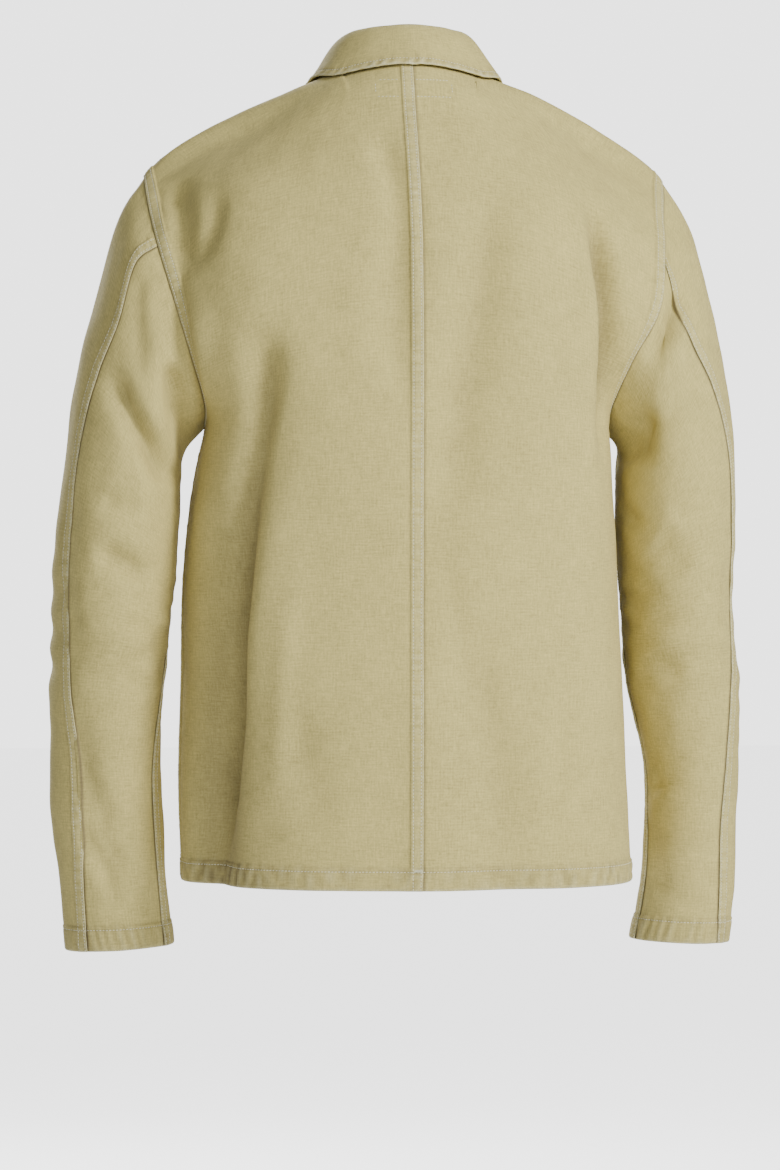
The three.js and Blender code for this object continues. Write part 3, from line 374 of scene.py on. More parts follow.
class Sleeve:
    def __init__(self, word):
        self.word = word
        self.side = 1 if word == "left" else -1
        self.rings = [dict(zip(sleeveColumns, row)) for row in sleeveRows[word]]
        middles = [self.middle(r) for r in self.rings]
        top = torsoPoint(travelAtAngle(np.array([0.0, 180.0])), 1.0).mean(axis=0)
        steps = np.linalg.norm(np.diff(np.array([top] + middles), axis=0), axis=1)
        self.knots = np.concatenate([[0], np.cumsum(steps)])
        self.length = self.knots[-1]
        first = armholeSeams[word]
        seams = np.array([first] + [[r["backSeam"], r["frontSeam"]] for r in self.rings])
        self.seams = through(self.knots, seams)

    def middle(self, ring):
        return np.array([(ring["xOut"] + ring["xIn"]) / 2, ring["yMid"], (ring["zOut"] + ring["zIn"]) / 2])

    def ringPoint(self, ring, angle, reach):
        grow = mix(reach, 1, ring["oval"])
        c = np.cos(np.radians(angle)) * grow
        s = np.sin(np.radians(angle)) * grow
        x = (ring["xOut"] + ring["xIn"]) / 2 + c * (ring["xOut"] - ring["xIn"]) / 2
        z = (ring["zOut"] + ring["zIn"]) / 2 + c * (ring["zOut"] - ring["zIn"]) / 2
        return np.stack([self.side * x, ring["yMid"] + s * ring["halfDepth"], z], axis=-1)

    def point(self, travel, angle):
        shape = np.broadcast(travel, angle).shape
        travel = np.broadcast_to(travel, shape).astype(float).ravel()
        angle = np.broadcast_to(angle, shape).astype(float).ravel()
        w = travelAtAngle(angle)
        reach = scyeShape(w)[1]
        rings = [torsoPoint(w, float(self.side))] + [self.ringPoint(r, angle, reach) for r in self.rings]
        return through(self.knots, np.array(rings))(travel).reshape(shape + (3,))

    def normal(self, travel, angle):
        travel = np.clip(travel, 0.6, self.length - 0.6)
        return self.side * normalOf(self.point, travel, angle, 0.5, 0.5)


sleeves = {word: Sleeve(word) for word in ("left", "right")}
print("shell worked out")


# Folds and the unevenness of washed cloth
def nearPath(path, x, z):
    nearest = np.full(x.shape, 1e9)
    at = np.zeros(x.shape)
    for i, ((ax, az), (bx, bz)) in enumerate(zip(path[:-1], path[1:])):
        run = (bx - ax)**2 + (bz - az)**2
        t = np.clip(((x - ax) * (bx - ax) + (z - az) * (bz - az)) / run, 0, 1)
        far = np.hypot(x - mix(ax, bx, t), z - mix(az, bz, t))
        at = np.where(far < nearest, (i + t) / (len(path) - 1), at)
        nearest = np.minimum(nearest, far)
    return nearest, at


def foldDepth(table, points):
    x, z = points[..., 0], points[..., 2]
    depth = np.zeros(x.shape)
    for width, size, path in table:
        far, at = nearPath(path, x, z)
        depth += size * smooth(-0.02, 0.28, at) * smooth(1.02, 0.66, at) * hill(far, 0, width)
    return depth


def unevenWave(seed, length, d):
    draw = np.random.default_rng(seed)
    lengths = length * draw.uniform(0.72, 1.5, 5)
    starts = draw.uniform(0, 2 * math.pi, 5)
    return sum(np.sin(2 * math.pi * d / n + p) for n, p in zip(lengths, starts)) / 2.6


# Unevenness of the cloth: length of its waves, their stretch down the sheet and their depth
unevenness = {
    "body": (120, 1.6, 0.9), "bodyFine": (36, 1.5, 0.26), "sleeve": (95, 1.3, 1.0),
    "sleeveFine": (32, 1, 0.28), "elbow": (46, 0.5, 1.3), "leaf": (60, 1, 0.45), "stand": (40, 1, 0.2),
    "pocket": (50, 1, 0.35),
}


def unevenField(kind, seed, u, v):
    length, stretch, depth = unevenness[kind]
    draw = np.random.default_rng(seed)
    turns = draw.uniform(0, math.pi, 14)
    lengths = length * draw.uniform(0.65, 1.6, 14)
    starts = draw.uniform(0, 2 * math.pi, 14)
    total = 0
    for a, n, p in zip(turns, lengths, starts):
        total = total + np.sin(2 * math.pi * (u * math.cos(a) + v * math.sin(a) / stretch) / n + p)
    return total * depth / 4.5


# Where the neck opening cuts the rows of the shell
def solve(f, target, low, high):
    low = np.full(np.shape(target), low, float) if np.isscalar(low) else low.astype(float).copy()
    high = np.full(np.shape(target), high, float) if np.isscalar(high) else high.astype(float).copy()
    rising = f(high) > f(low)
    for _ in range(30):
        half = (low + high) / 2
        goUp = (f(half) < target) == rising
        low = np.where(goUp, half, low)
        high = np.where(goUp, high, half)
    return (low + high) / 2


def plainX(w, s):
    return torsoPoint(w, s)[..., 0] - torsoPoint(w, np.zeros(np.shape(s)))[..., 0]


def neckOval(p):
    depth = np.where(p[..., 1] > 0, cut["neckBack"], cut["neckFront"])
    return (p[..., 0] / cut["neckHalfWidth"])**2 + (p[..., 1] / depth)**2 - 1


neckPointS = float(solve(lambda s: plainX(np.array([ridgeAt]), s), np.array([cut["neckHalfWidth"]]), 0, 1)[0])
neckSteps = np.linspace(0, neckPointS, 160)
lowEnds = {"back": armpitBackAt, "front": armpitFrontAt}
neckTops = {face: solve(lambda w: neckOval(torsoPoint(w, neckSteps)), np.zeros(160), low, ridgeAt)
            for face, low in lowEnds.items()}


def topOf(face, s):
    s = np.abs(s)
    return np.where(s >= neckPointS, ridgeAt, np.interp(s, neckSteps, neckTops[face]))


topSteps = np.linspace(0, 1, 400)
topSpread = hill(topSteps[:, None], topSteps[None], 0.10)
softTops = {face: topSpread @ topOf(face, topSteps) / topSpread.sum(axis=1) for face in lowEnds}


def underAt(s):
    return cut["underOffset"] * (1 - smooth(0.25, 0.38, s / neckPointS))


def evenSteps(a, b, step):
    return np.linspace(a, b, max(2, int(round(abs(b - a) / step))) + 1)


edgeSteps = np.array([0.1, 0.35, 0.7, 1.1, 1.5, 2.0, 2.5, 3.1, 4.0, 5.2, 6.4, 7.2, 7.8, 8.3, 8.8, 9.4,
                      10.0, 10.4, 10.9, 11.6, 12.8, 14.6])
hemSteps = np.concatenate([np.arange(0.0, 16.0), [15.6, 16.2, 16.8, 17.4, 18.0, 18.6, 19.4, 20.6, 22.4]])
# Rows turned in behind a hem: how far up and how deep
turnSteps = [(16.5, -1.55), (12, -1.6), (7, -1.6), (3, -1.55), (1, -1.4), (0.1, -0.9), (-0.15, -0.3)]


def openness(own, other):
    return smooth(-0.2, 0.5, np.sum(own * other, axis=-1))


def otherFace(w):
    onBack = mix(hemFrontAt, armpitFrontAt, w / armpitBackAt)
    onFront = mix(armpitBackAt, 0, (w - armpitFrontAt) / (hemFrontAt - armpitFrontAt))
    return np.where(w < ridgeAt, onBack, onFront)


# Depths in the relief of seams and hems
relief = {"fellGroove": 0.28, "hemGroove": 0.4, "frontGroove": 0.25, "leafGroove": 0.45, "pocketGroove": 0.26,
          "grooveWidth": 0.75, "pucker": 0.16, "longPucker": 0.12, "fellCrown": 0.10, "besideFell": 0.20,
          "hemCrown": 0.2, "rope": 0.95, "ropePitch": 9.3, "leafRope": 0.6, "besideLeaf": 0.16}
# Strengths of the painted tones: painted shade from 0 to 1 in grooves, creases and under lapped edges, and
# pale wear
tone = {"groove": 0.16, "crease": 0.026, "fineCrease": 0.022, "ropePale": 0.3, "edgePale": 0.8,
        "ropeDark": 0.38, "hemLine": 0.20, "hemBand": 0.13, "fellDark": 0.14, "fellPale": 0.10,
        "fellRub": 0.14, "sideEdge": 0.4, "centreEdge": 0.85, "frontPale": 0.85, "armhole": 0.9,
        "underSeam": 0.9}


# Reliefs of a felled seam and of a turned hem, each by the distance d from its folded edge
def stitchGroove(d, rows, depth):
    return -depth * sum(hill(d, row, relief["grooveWidth"]) for row in rows)


def stripRelief(d, run, seed):
    raised = cut["fellRaise"] * (1 - 0.4 * smooth(0.8, 0, d)) * smooth(11.4, 9.8, d)
    pucker = unevenWave(seed, 9.0, run) * relief["pucker"]
    pucker = pucker + unevenWave(seed + 1, 24.0, run) * relief["longPucker"]
    inside = smooth(0, 2, d) * smooth(10.4, 8.6, d)
    beside = hill(d, 13, 5.0) * unevenWave(seed + 2, 12.0, run) * relief["besideFell"]
    return (raised + stitchGroove(d, fellRows, relief["fellGroove"])
            + inside * (relief["fellCrown"] + pucker) + beside)


def hemRope(d, run, seed, depth):
    row = depth - hemRowIn
    slant = run + (d - row) * 0.25  # the roping leans, because the top layer was pushed along in sewing
    strength = 0.5 + 0.6 * smooth(75, 150, np.abs(run)) + 0.3 * unevenWave(seed + 1, 60.0, run)
    wave = (np.sin(2 * math.pi * slant / relief["ropePitch"] + 2.2 * unevenWave(seed + 3, 55.0, run))
            + 0.8 * unevenWave(seed, 13.0, slant)) / 1.5
    return wave * strength * smooth(-1, 3, d) * smooth(depth + 6, row - 3, d)


def hemRelief(d, run, seed, depth):
    band = smooth(depth + 1.4, depth - 0.2, d)
    inside = smooth(-0.5, 4, d) * smooth(depth - 1.6, depth - 6, d)
    rope = relief["rope"] * hemRope(d, run, seed, depth)
    return (band * (cut["hemRaise"] + relief["hemCrown"] * inside) + rope
            + stitchGroove(d, (depth - hemRowIn,), relief["hemGroove"]) - 0.45 * smooth(1.2, 0, d))


# Dark and pale parts: painted shade in the grooves, in creases and under the folded edges, and pale rubbing
# on what stands proud
def edgeShade(d, width=1.3):
    return hill(d, 0.3, width)


def grooveShade(d, rows):
    return tone["groove"] * sum(hill(d, row, 1.0) for row in rows)


def creaseShade(plain):
    return tone["crease"] * np.clip(-plain - 3, 0, 14)


def hemTone(d, run, seed, depth):
    rope = hemRope(d, run, seed, depth)
    pale = tone["ropePale"] * np.clip(rope, 0, 1) + tone["edgePale"] * washed(d, 1.5, run, seed + 60)
    # the dark part: the roping's dents darker, partly painted shade and partly less rubbed dye; painted shade
    # in the stitch groove, a painted shadow line just above the band's upper edge, and the whole band a
    # little darker
    dark = tone["ropeDark"] * np.clip(-rope, 0, 1) + grooveShade(d, (depth - hemRowIn,))
    dark = dark + tone["hemLine"] * hill(d, depth + 1.2, 1.3)
    dark = dark + tone["hemBand"] * smooth(depth + 1, depth - 1, d)
    return pale, dark


def stripTone(d, run, seed):
    rub = unevenWave(seed, 7.0, run)
    inside = smooth(0, 1.5, d) * smooth(10.6, 9, d)
    pale = tone["edgePale"] * washed(d, 1.0, run, seed + 61)
    pale = pale + inside * (tone["fellPale"] + tone["fellRub"] * rub)
    # the dark part: painted shade in the stitch grooves and a painted shadow line just beyond the strip's
    # raised edge, and darker patches at random inside the strip
    dark = grooveShade(d, fellRows) + tone["fellDark"] * (inside * np.clip(-rub, 0, 1) + hill(d, 11.2, 1.2))
    return pale, dark


# A felled strip comes on top of what a sheet has so far, pressed flatter where it crosses a hem
def withStrip(soFar, d, run, seed, amount, press=1.0):
    lift, wear, shade = soFar
    pale, dark = stripTone(d, run, seed)
    lift = lift + stripRelief(d, run, seed) * amount * press
    return lift, np.maximum(wear, pale * amount), shade + dark * amount


def washed(d, width, run, seed):
    return hill(d, 0, width) * (0.72 + 0.28 * unevenWave(seed, 14.0, run))


def alongRows(points):
    steps = np.linalg.norm(np.diff(points, axis=1), axis=2)
    return np.concatenate([np.zeros((len(points), 1)), np.cumsum(steps, axis=1)], axis=1)


def outwardNormals(points, guide):
    n = unit(np.cross(np.gradient(points, axis=0), np.gradient(points, axis=1)))
    return n * np.sign(np.sum(n * guide, axis=-1).mean())


frontRows = (1.8, 6.0)  # stitch rows along the front edge


# What the later steps take from a sheet: points, normals, the place on the flat cloth and the tones
def sheetOf(points, guide, u, v, wear, shade, **more):
    return {"points": points, "normals": outwardNormals(points, guide), "u": u, "v": v, "wear": wear,
            "shade": shade, **more}


# One panel of the body: side is 1 for the wearer's left and -1 for the right
def bodySheet(face, side, first, centre, width, seed):
    hem = 0.0 if face == "back" else hemFrontAt
    armpit = lowEnds[face]
    way = 1 if face == "back" else -1
    reach = abs(ridgeAt - armpit)
    turned = [d for d, _ in turnSteps]
    low = np.concatenate([turned, hemSteps, evenSteps(hemSteps[-1], abs(armpit - hem), cloth["step"])[1:]])
    high = np.concatenate([evenSteps(0, 1 - edgeSteps[-1] / reach, cloth["step"] / reach)[1:],
                           1 - edgeSteps[::-1][1:] / reach])
    last = edgeSteps[::-1]
    middle = np.linspace(0, 1, int(width / cloth["step"]) + 2)[1:-1]

    def rowTravel(top, s=None):
        lowPart = np.broadcast_to((hem + way * low)[:, None], (len(low), top.shape[1]))
        highTop = top[len(low):]
        if s is not None:  # the neck's corner is left out of the rows further down
            soft = np.interp(np.abs(s[len(low):]), topSteps, softTops[face])
            highTop = mix(soft, highTop, smooth(0.72, 0.97, high)[:, None])
        return np.concatenate([lowPart, mix(armpit, highTop, high[:, None])])

    rowCount = len(low) + len(high)
    w = rowTravel(np.full((rowCount, 1), ridgeAt))
    for _ in range(4):
        atFirst = np.broadcast_to(w[:, :1], (rowCount, len(first)))
        sizes = solve(lambda s: plainX(atFirst, s), np.broadcast_to(np.abs(first), atFirst.shape), 0, 1)
        sFirst = np.where(first < 0, -sizes, sizes)
        sLast = 1 - last / edgeSpeed(w[:, -1])[:, None]
        s = np.concatenate([sFirst, mix(sFirst[:, -1:], sLast[:, :1], middle), sLast], axis=1)
        w = rowTravel(topOf(face, s), s)

    base = torsoPoint(w, s * side)
    normal = torsoNormal(w, s * side)
    toEdge = (1 - s) * edgeSpeed(w)
    toTop = np.abs(topOf(face, s) - w)
    toHem = np.abs(w - hem)
    run = alongRows(base) + first[0]
    u = side * run
    besideArmhole = (w > armpitBackAt + 1) & (w < armpitFrontAt - 1)
    sleeve = sleeves["left" if side > 0 else "right"]
    capNormal = sleeve.normal(np.zeros(rowCount), scyeShape(w[:, -1])[0])
    beyond = np.where(besideArmhole[..., None], capNormal[:, None], torsoNormal(otherFace(w), s * side))
    near = np.clip(1 - toEdge / cut["fellWidth"], 0, 1) * openness(normal, beyond)
    openAt = np.where(besideArmhole & (toEdge < 14), openness(normal, beyond), 1.0)
    normal = unit(normal + beyond * near[..., None])

    beyondArmpit = np.maximum(0, np.maximum(armpitBackAt - w, w - armpitFrontAt))
    toArmhole = np.hypot(toEdge, beyondArmpit)
    # Folds run out where the side turns away
    facing = smooth(0.06, 0.46, np.abs(torsoNormal(w, s * side)[..., 1]))
    fade = smooth(0, cut["foldReach"], toArmhole) * smooth(0, 60, np.abs(w - ridgeAt)) * facing
    fine = foldDepth(creases[face], base) * facing
    plain = foldDepth(folds[face], base) * fade + fine * smooth(0, 14, toArmhole) * smooth(10, 30, toTop)
    uneven = unevenField("body", seed, u, w) + unevenField("bodyFine", seed + 1, u, w)
    plain = plain + uneven * smooth(0, 20, toEdge) * smooth(0, 16, toTop)
    if face == "front" and side < 0:
        plain = plain - underAt(s)
    # The back laps over the front at the sides, and both lap over the sleeve
    edgeOver = np.where(besideArmhole, 1.0, 1.0 if face == "back" else 0.0)
    edgeOver = edgeOver * openAt * smooth(4, 26, np.abs(w - armpit))
    press = mix(0.5, 1, smooth(cut["hemDepth"] - 2, cut["hemDepth"] + 3, toHem))
    soFar = (plain + hemRelief(toHem, u, seed + 10, cut["hemDepth"]),
             *hemTone(toHem, u, seed + 10, cut["hemDepth"]))
    soFar = withStrip(soFar, toEdge, w, seed + 2, edgeOver, press)
    if centre == "over":
        soFar = withStrip(soFar, run, w, seed + 30, 1.0, press)
    onShoulder = smooth(neckPointS * 0.98, neckPointS * 1.03, s) * smooth(2, 16, toEdge)
    if face == "front":
        soFar = withStrip(soFar, toTop, u, seed + 40, onShoulder)
    lift, wear, shade = soFar
    shade = shade + tone["sideEdge"] * edgeShade(toEdge) * (1 - edgeOver) * openAt
    shade = shade + creaseShade(plain) + tone["fineCrease"] * np.clip(-fine - 4, 0, 9)
    if face == "back":
        shade = shade + edgeShade(toTop) * onShoulder
    if centre == "under":
        shade = shade + tone["centreEdge"] * edgeShade(run, 1.2)
    if centre == "front":
        fromEdge = run - first[0]
        lift = lift + 0.5 * smooth(7.5, 6, fromEdge) - 0.4 * smooth(1, 0, fromEdge)
        lift = lift + stitchGroove(fromEdge, frontRows[1:], relief["frontGroove"])
        wear = np.maximum(wear, tone["frontPale"] * washed(fromEdge, 1.1, w, seed + 31))
        shade = shade + grooveShade(fromEdge, frontRows)
    for i, (_, offset) in enumerate(turnSteps):
        lift[i] = plain[i] + offset
    points = base + normal * lift[..., None]
    return sheetOf(points, normal, u, w, wear, shade, toEdge=toEdge, toHem=toHem, toTop=toTop, run=run,
                   skip=len(turnSteps), beside=besideArmhole)


# Part of a sleeve between its two seams; the top sleeve laps over the under one at both
def sleeveSheet(sleeve, isTop, seed):
    down = evenSteps(edgeSteps[-1], sleeve.length - 26, cloth["step"])[1:]
    cuffSteps = np.append(hemSteps[::-1][:-3] + cut["cuffDepth"] - cut["hemDepth"], [2, 1, 0.0])
    along = np.concatenate([[-3.4, -1.4], edgeSteps, down, sleeve.length - cuffSteps])
    along = np.unique(np.round(along, 3))
    along = np.concatenate([along, [sleeve.length - d for d, _ in turnSteps[::-1]]])
    travel = np.clip(along, 0, sleeve.length + 0.2)
    backSeam, frontSeam = sleeve.seams(travel).T
    a, b = (frontSeam, backSeam + 360) if isTop else (backSeam, frontSeam)
    rowCount = len(along)
    extra = 8.0
    angles = np.linspace(a - extra, b + extra, 240).T
    arc = alongRows(sleeve.point(travel[:, None], angles))
    startArc = np.array([np.interp(a[i], angles[i], arc[i]) for i in range(rowCount)])
    endArc = np.array([np.interp(b[i], angles[i], arc[i]) for i in range(rowCount)])
    ends = edgeSteps if isTop else np.array([-3.4, -2.2, -1.0, -0.3, 0.3, 0.9, 1.6, 2.6, 4.2, 6.2, 8.6])
    share = np.linspace(0, 1, int((endArc - startArc).max() / cloth["step"]) + 2)[1:-1]
    low = startArc[:, None] + ends
    high = endArc[:, None] - ends[::-1]
    wanted = np.concatenate([low, mix(low[:, -1:], high[:, :1], share), high], axis=1)
    angle = np.array([np.interp(wanted[i], arc[i], angles[i]) for i in range(rowCount)])
    fromStart = wanted - startArc[:, None]
    fromEnd = endArc[:, None] - wanted
    t = travel[:, None] * np.ones_like(angle)

    base = sleeve.point(t, angle)
    own = sleeve.normal(t, angle)
    w = travelAtAngle(angle)
    body = torsoNormal(w, np.full(w.shape, sleeve.side * 0.999))
    near = np.clip(1 - t / cut["fellWidth"], 0, 1) * openness(own, body)
    normal = unit(own + body * near[..., None])
    around = np.sin(np.radians(angle))
    facing, ahead = smooth(0.05, 0.5, around), smooth(0.05, 0.5, -around)
    fine = foldDepth(creases[sleeve.word], base) * facing
    fine = fine + foldDepth(creases[sleeve.word + "Front"], base) * ahead
    fade = smooth(0, cut["foldReach"], t) * facing
    plain = foldDepth(folds[sleeve.word], base) * fade + fine * smooth(4, 18, t)
    v = along[:, None] * np.ones_like(angle)
    u = wanted - (startArc + endArc)[:, None] / 2
    toSeam = np.minimum(fromStart, fromEnd)
    calm = smooth(0, 18, toSeam) if isTop else smooth(-1, 14, toSeam)
    uneven = unevenField("sleeve", seed, u, v) + unevenField("sleeveFine", seed + 1, u, v)
    # Shallow rings of creases round the elbow
    uneven = uneven + hill(v, 285, 80) * unevenField("elbow", seed + 5, u * 0.7, v)
    plain = plain + uneven * (0.25 + 0.75 * calm) * smooth(4, 22, t)
    beside = hill(t, 3, 8) * unevenWave(seed + 2, 13, angle * 1.3) * 0.35 * smooth(0.4, 3, t)
    toHem = np.abs(sleeve.length - v)
    press = mix(1, 0.5, smooth(cut["cuffDepth"] + 3, cut["cuffDepth"] - 2, toHem))
    lift = plain + beside + hemRelief(toHem, u, seed + 10, cut["cuffDepth"])
    wear, shade = hemTone(toHem, u, seed + 10, cut["cuffDepth"])
    shade = shade + tone["armhole"] * edgeShade(t) + creaseShade(plain)
    if isTop:
        for d, n in ((fromStart, 30), (fromEnd, 36)):
            lift, wear, shade = withStrip((lift, wear, shade), d, v, seed + n, smooth(0.5, 7, t), press)
    else:
        lift = lift - cloth["tuckDepth"] * smooth(0.6, -0.6, toSeam) - lift * smooth(2, -1, toSeam) * 0.5
        shade = shade + tone["underSeam"] * edgeShade(toSeam, 1.4)
    turnedRows = len(turnSteps)
    for i, (_, offset) in enumerate(turnSteps[::-1]):
        lift[rowCount - turnedRows + i] = plain[rowCount - turnedRows + i] + offset
    points = base + normal * lift[..., None]
    for i in np.where(along < 0)[0]:  # the cap is tucked in under the body's raised edge
        edge = edgeSpeed(w[i])
        s = sleeve.side * (1 + along[i] / edge)
        points[i] = torsoPoint(w[i], s) - torsoNormal(w[i], s) * cloth["tuckDepth"]
    return sheetOf(points, normal, u, v, wear, shade, fromStart=fromStart, fromEnd=fromEnd, toHem=toHem,
                   skipEnd=turnedRows)


# The collar goes round the neck: phi is 0 at the centre back, 0.5 at the left shoulder, 1 at the front
collarTable = np.array(collarRows, float)
collarCurve = through(collarTable[:, 0], collarTable[:, 1:])
collarLast = 1 - math.asin(cut["collarEnd"]) / math.pi
collar = {"wall": 2.2, "foldGap": 3.4, "roll": 8.0, "hang": 0.42, "belly": 1.2, "lean": 24.0, "foot": 0.6,
          "thick": 1.9, "over": 2.8, "inside": (7.0, 4.5, 2.0), "row": 6.0, "even": 12.0, "leafStep": 2.2,
          "standThick": 1.6, "standStep": 3.0}
rimSteps = np.array([0, 0.5, 1.0, 1.7, 2.6, 3.8, 5, 5.6, 6, 6.4, 7, 8, 9.5])


def collarAt(phi):
    return collarCurve(np.abs(np.ravel(phi))).reshape(np.shape(phi) + (4,))


def neckPlace(phi):
    s = np.sin(np.pi * phi) * neckPointS
    return np.where(np.abs(phi) < 0.5, topOf("back", s), topOf("front", s)), s


def neckPoint(phi):
    w, s = neckPlace(phi)
    under = np.where(phi < -0.5, underAt(np.abs(s)), 0)
    return torsoPoint(w, s) - torsoNormal(w, s) * under[..., None]


def neckFrame(phi):
    ahead, behind = np.minimum(phi + 0.02, collarLast), np.maximum(phi - 0.02, -collarLast)
    edge = unit(neckPoint(ahead) - neckPoint(behind))
    out = unit(np.stack([-edge[..., 1], edge[..., 0], np.zeros(phi.shape)], axis=-1))
    up = unit(np.cross(out, edge))
    return out, up * np.sign(up[..., 2:])


def foldPoint(phi):
    out, up = neckFrame(phi)
    lean = math.radians(collar["lean"])
    return neckPoint(phi) + (up * math.cos(lean) - out * math.sin(lean)) * collarAt(phi)[..., :1]


def leafEdge(phi):
    c = collarAt(phi)
    w = ridgeAt - c[..., 2]
    s = solve(lambda v: plainX(w, v), np.maximum(c[..., 1], 0), 0, 1) * np.where(phi < 0, -1, 1)
    return torsoPoint(w, s) + torsoNormal(w, s) * c[..., 3:]


def collarPhis(step):
    fine = np.linspace(-collarLast, collarLast, 900)
    run = alongRows(leafEdge(fine)[None])[0]
    length = run[-1]
    middle = evenSteps(rimSteps[-1], length - rimSteps[-1], step)[1:-1]
    wanted = np.concatenate([rimSteps, middle, length - rimSteps[::-1]])
    return np.interp(wanted, run, fine), wanted, length


def leafSheet(seed):
    phi, run, length = collarPhis(collar["leafStep"])
    out, up = neckFrame(phi)
    start = foldPoint(phi) - out * collar["wall"] + up * (collar["wall"] + collar["foldGap"])
    end = leafEdge(phi)
    even = hill(run[:, None], run[None], collar["even"])  # the roll runs evenly round the neck
    even = even / even.sum(axis=1, keepdims=True)
    start, out = even @ start, unit(even @ out)
    hang = mix(end, start, collar["hang"]) + out * collar["belly"]
    handles = [start, start + out * collar["roll"], hang, end]
    curve = np.array([bezier(handles, np.full(len(phi), r)) for r in np.linspace(0, 1, 200)])
    down = alongRows(curve.transpose(1, 0, 2)).T
    total = down[-1]
    share = np.linspace(0, 1, 26)[:, None]
    wanted = np.concatenate([(total - rimSteps[-1]) * share, total - rimSteps[::-1][1:, None]])
    points = np.array([[np.interp(wanted[:, j], down[:, j], curve[:, j, k]) for k in range(3)]
                       for j in range(len(phi))]).transpose(2, 0, 1)
    inward = []
    for turn in np.radians([90, 68, 45, 22]):  # over the fold and down on the neck's side
        inward.append(start - (out * math.sin(turn) + up * (1 - math.cos(turn))) * collar["over"])
    stand = unit(neckPoint(phi) - foldPoint(phi))
    hidden = [inward[0] + stand * d for d in collar["inside"]] + inward
    points = np.concatenate([np.array(hidden), points])
    farIn = 60.0 + 2 * np.arange(len(hidden), 0, -1)[:, None] * np.ones(len(phi))
    toEdge = np.concatenate([farIn, total - wanted])
    side = np.minimum(run, length - run)[None] * np.ones_like(toEdge)
    rim = np.minimum(toEdge, side)
    around = np.where(toEdge < side, run[None], toEdge)
    normal = outwardNormals(points, out[None])
    rope = unevenWave(seed, 9.5, around + (rim - 6) * 0.5) * smooth(-0.5, 3, rim) * smooth(7, 4, rim)
    beyond = hill(rim, 9, 4.5) * unevenWave(seed + 1, 10, around) * relief["besideLeaf"]
    groove = stitchGroove(rim, (collar["row"],), relief["leafGroove"])
    lift = relief["leafRope"] * rope + beyond + groove - 0.35 * smooth(0.9, 0, rim)
    lift = lift + unevenField("leaf", seed + 2, run[None], toEdge) * smooth(0, 12, rim)
    points = points + normal * lift[..., None]
    wear = 0.9 * washed(rim, 1.6, around, seed + 3) + 0.5 * np.clip(rope, 0, 1)
    fold = washed(toEdge - total[None], 5, run[None], seed + 5) * 0.4
    shade = 0.5 * np.clip(-rope, 0, 1) + 1.4 * grooveShade(rim, (collar["row"],))
    shade = shade + 0.4 * hill(rim, 8, 3.0) * np.clip(-unevenWave(seed, 9.5, around), 0, 1)
    return sheetOf(points, out[None], run[None] * np.ones_like(rim), toEdge, np.maximum(wear, fold), shade,
                   toEdge=toEdge, side=side, skip=len(hidden))


def standSheet(seed):
    phi, run, _ = collarPhis(collar["standStep"])
    foot = neckPoint(phi)
    top = foldPoint(phi)
    foot = foot + unit(top - foot) * collar["foot"]
    share = np.concatenate([np.linspace(0, 0.2, 5), np.linspace(0.25, 1, 12)])
    points = mix(foot[None], top[None], share[:, None, None])
    out, up = neckFrame(phi)
    height = np.linalg.norm(top - foot, axis=1)
    v = share[:, None] * height[None]
    normal = outwardNormals(points, out[None])
    points = points + normal * (unevenField("stand", seed, run[None], v) * smooth(0, 6, v))[..., None]
    return {"points": points, "normals": normal, "u": run[None] * np.ones_like(v), "v": v,
            "wear": washed(v - 1, 2, run[None], seed + 1) * 0.3, "shade": edgeShade(v, 2.0) * 0.5}


# Patch pockets lie on the fronts
pockets = {
    "pocket_hip_left": {"side": 1, "xMid": 98, "half": 68, "top": -492, "bottom": -652},
    "pocket_hip_right": {"side": -1, "xMid": 98, "half": 68, "top": -492, "bottom": -652},
    "pocket_chest": {"side": 1, "xMid": 86, "half": 46, "top": -188, "bottom": -300},
}
pocketCut = {"lift": 2.1, "bag": 1.6, "hem": 20.0, "hemRaise": 0.7, "taper": 0.08, "step": 2.6}
pocketSteps = np.array([0, 0.5, 1.0, 1.6, 2.2, 3.0, 4.5, 6, 7.2, 8, 8.6, 9.4, 11])
chestAt = torsoKnots[torsoNames.index("upperChest")]


def frontTravel(z, s):
    return solve(lambda w: -torsoPoint(w, s)[..., 2], -z, chestAt, hemFrontAt)


def frontPlace(x, z):
    s = np.full(x.shape, 0.4)
    for _ in range(5):
        w = frontTravel(z, s * np.sign(x))
        s = solve(lambda v: plainX(w, v), np.abs(x), 0, 1)
    return w, s * np.sign(x)


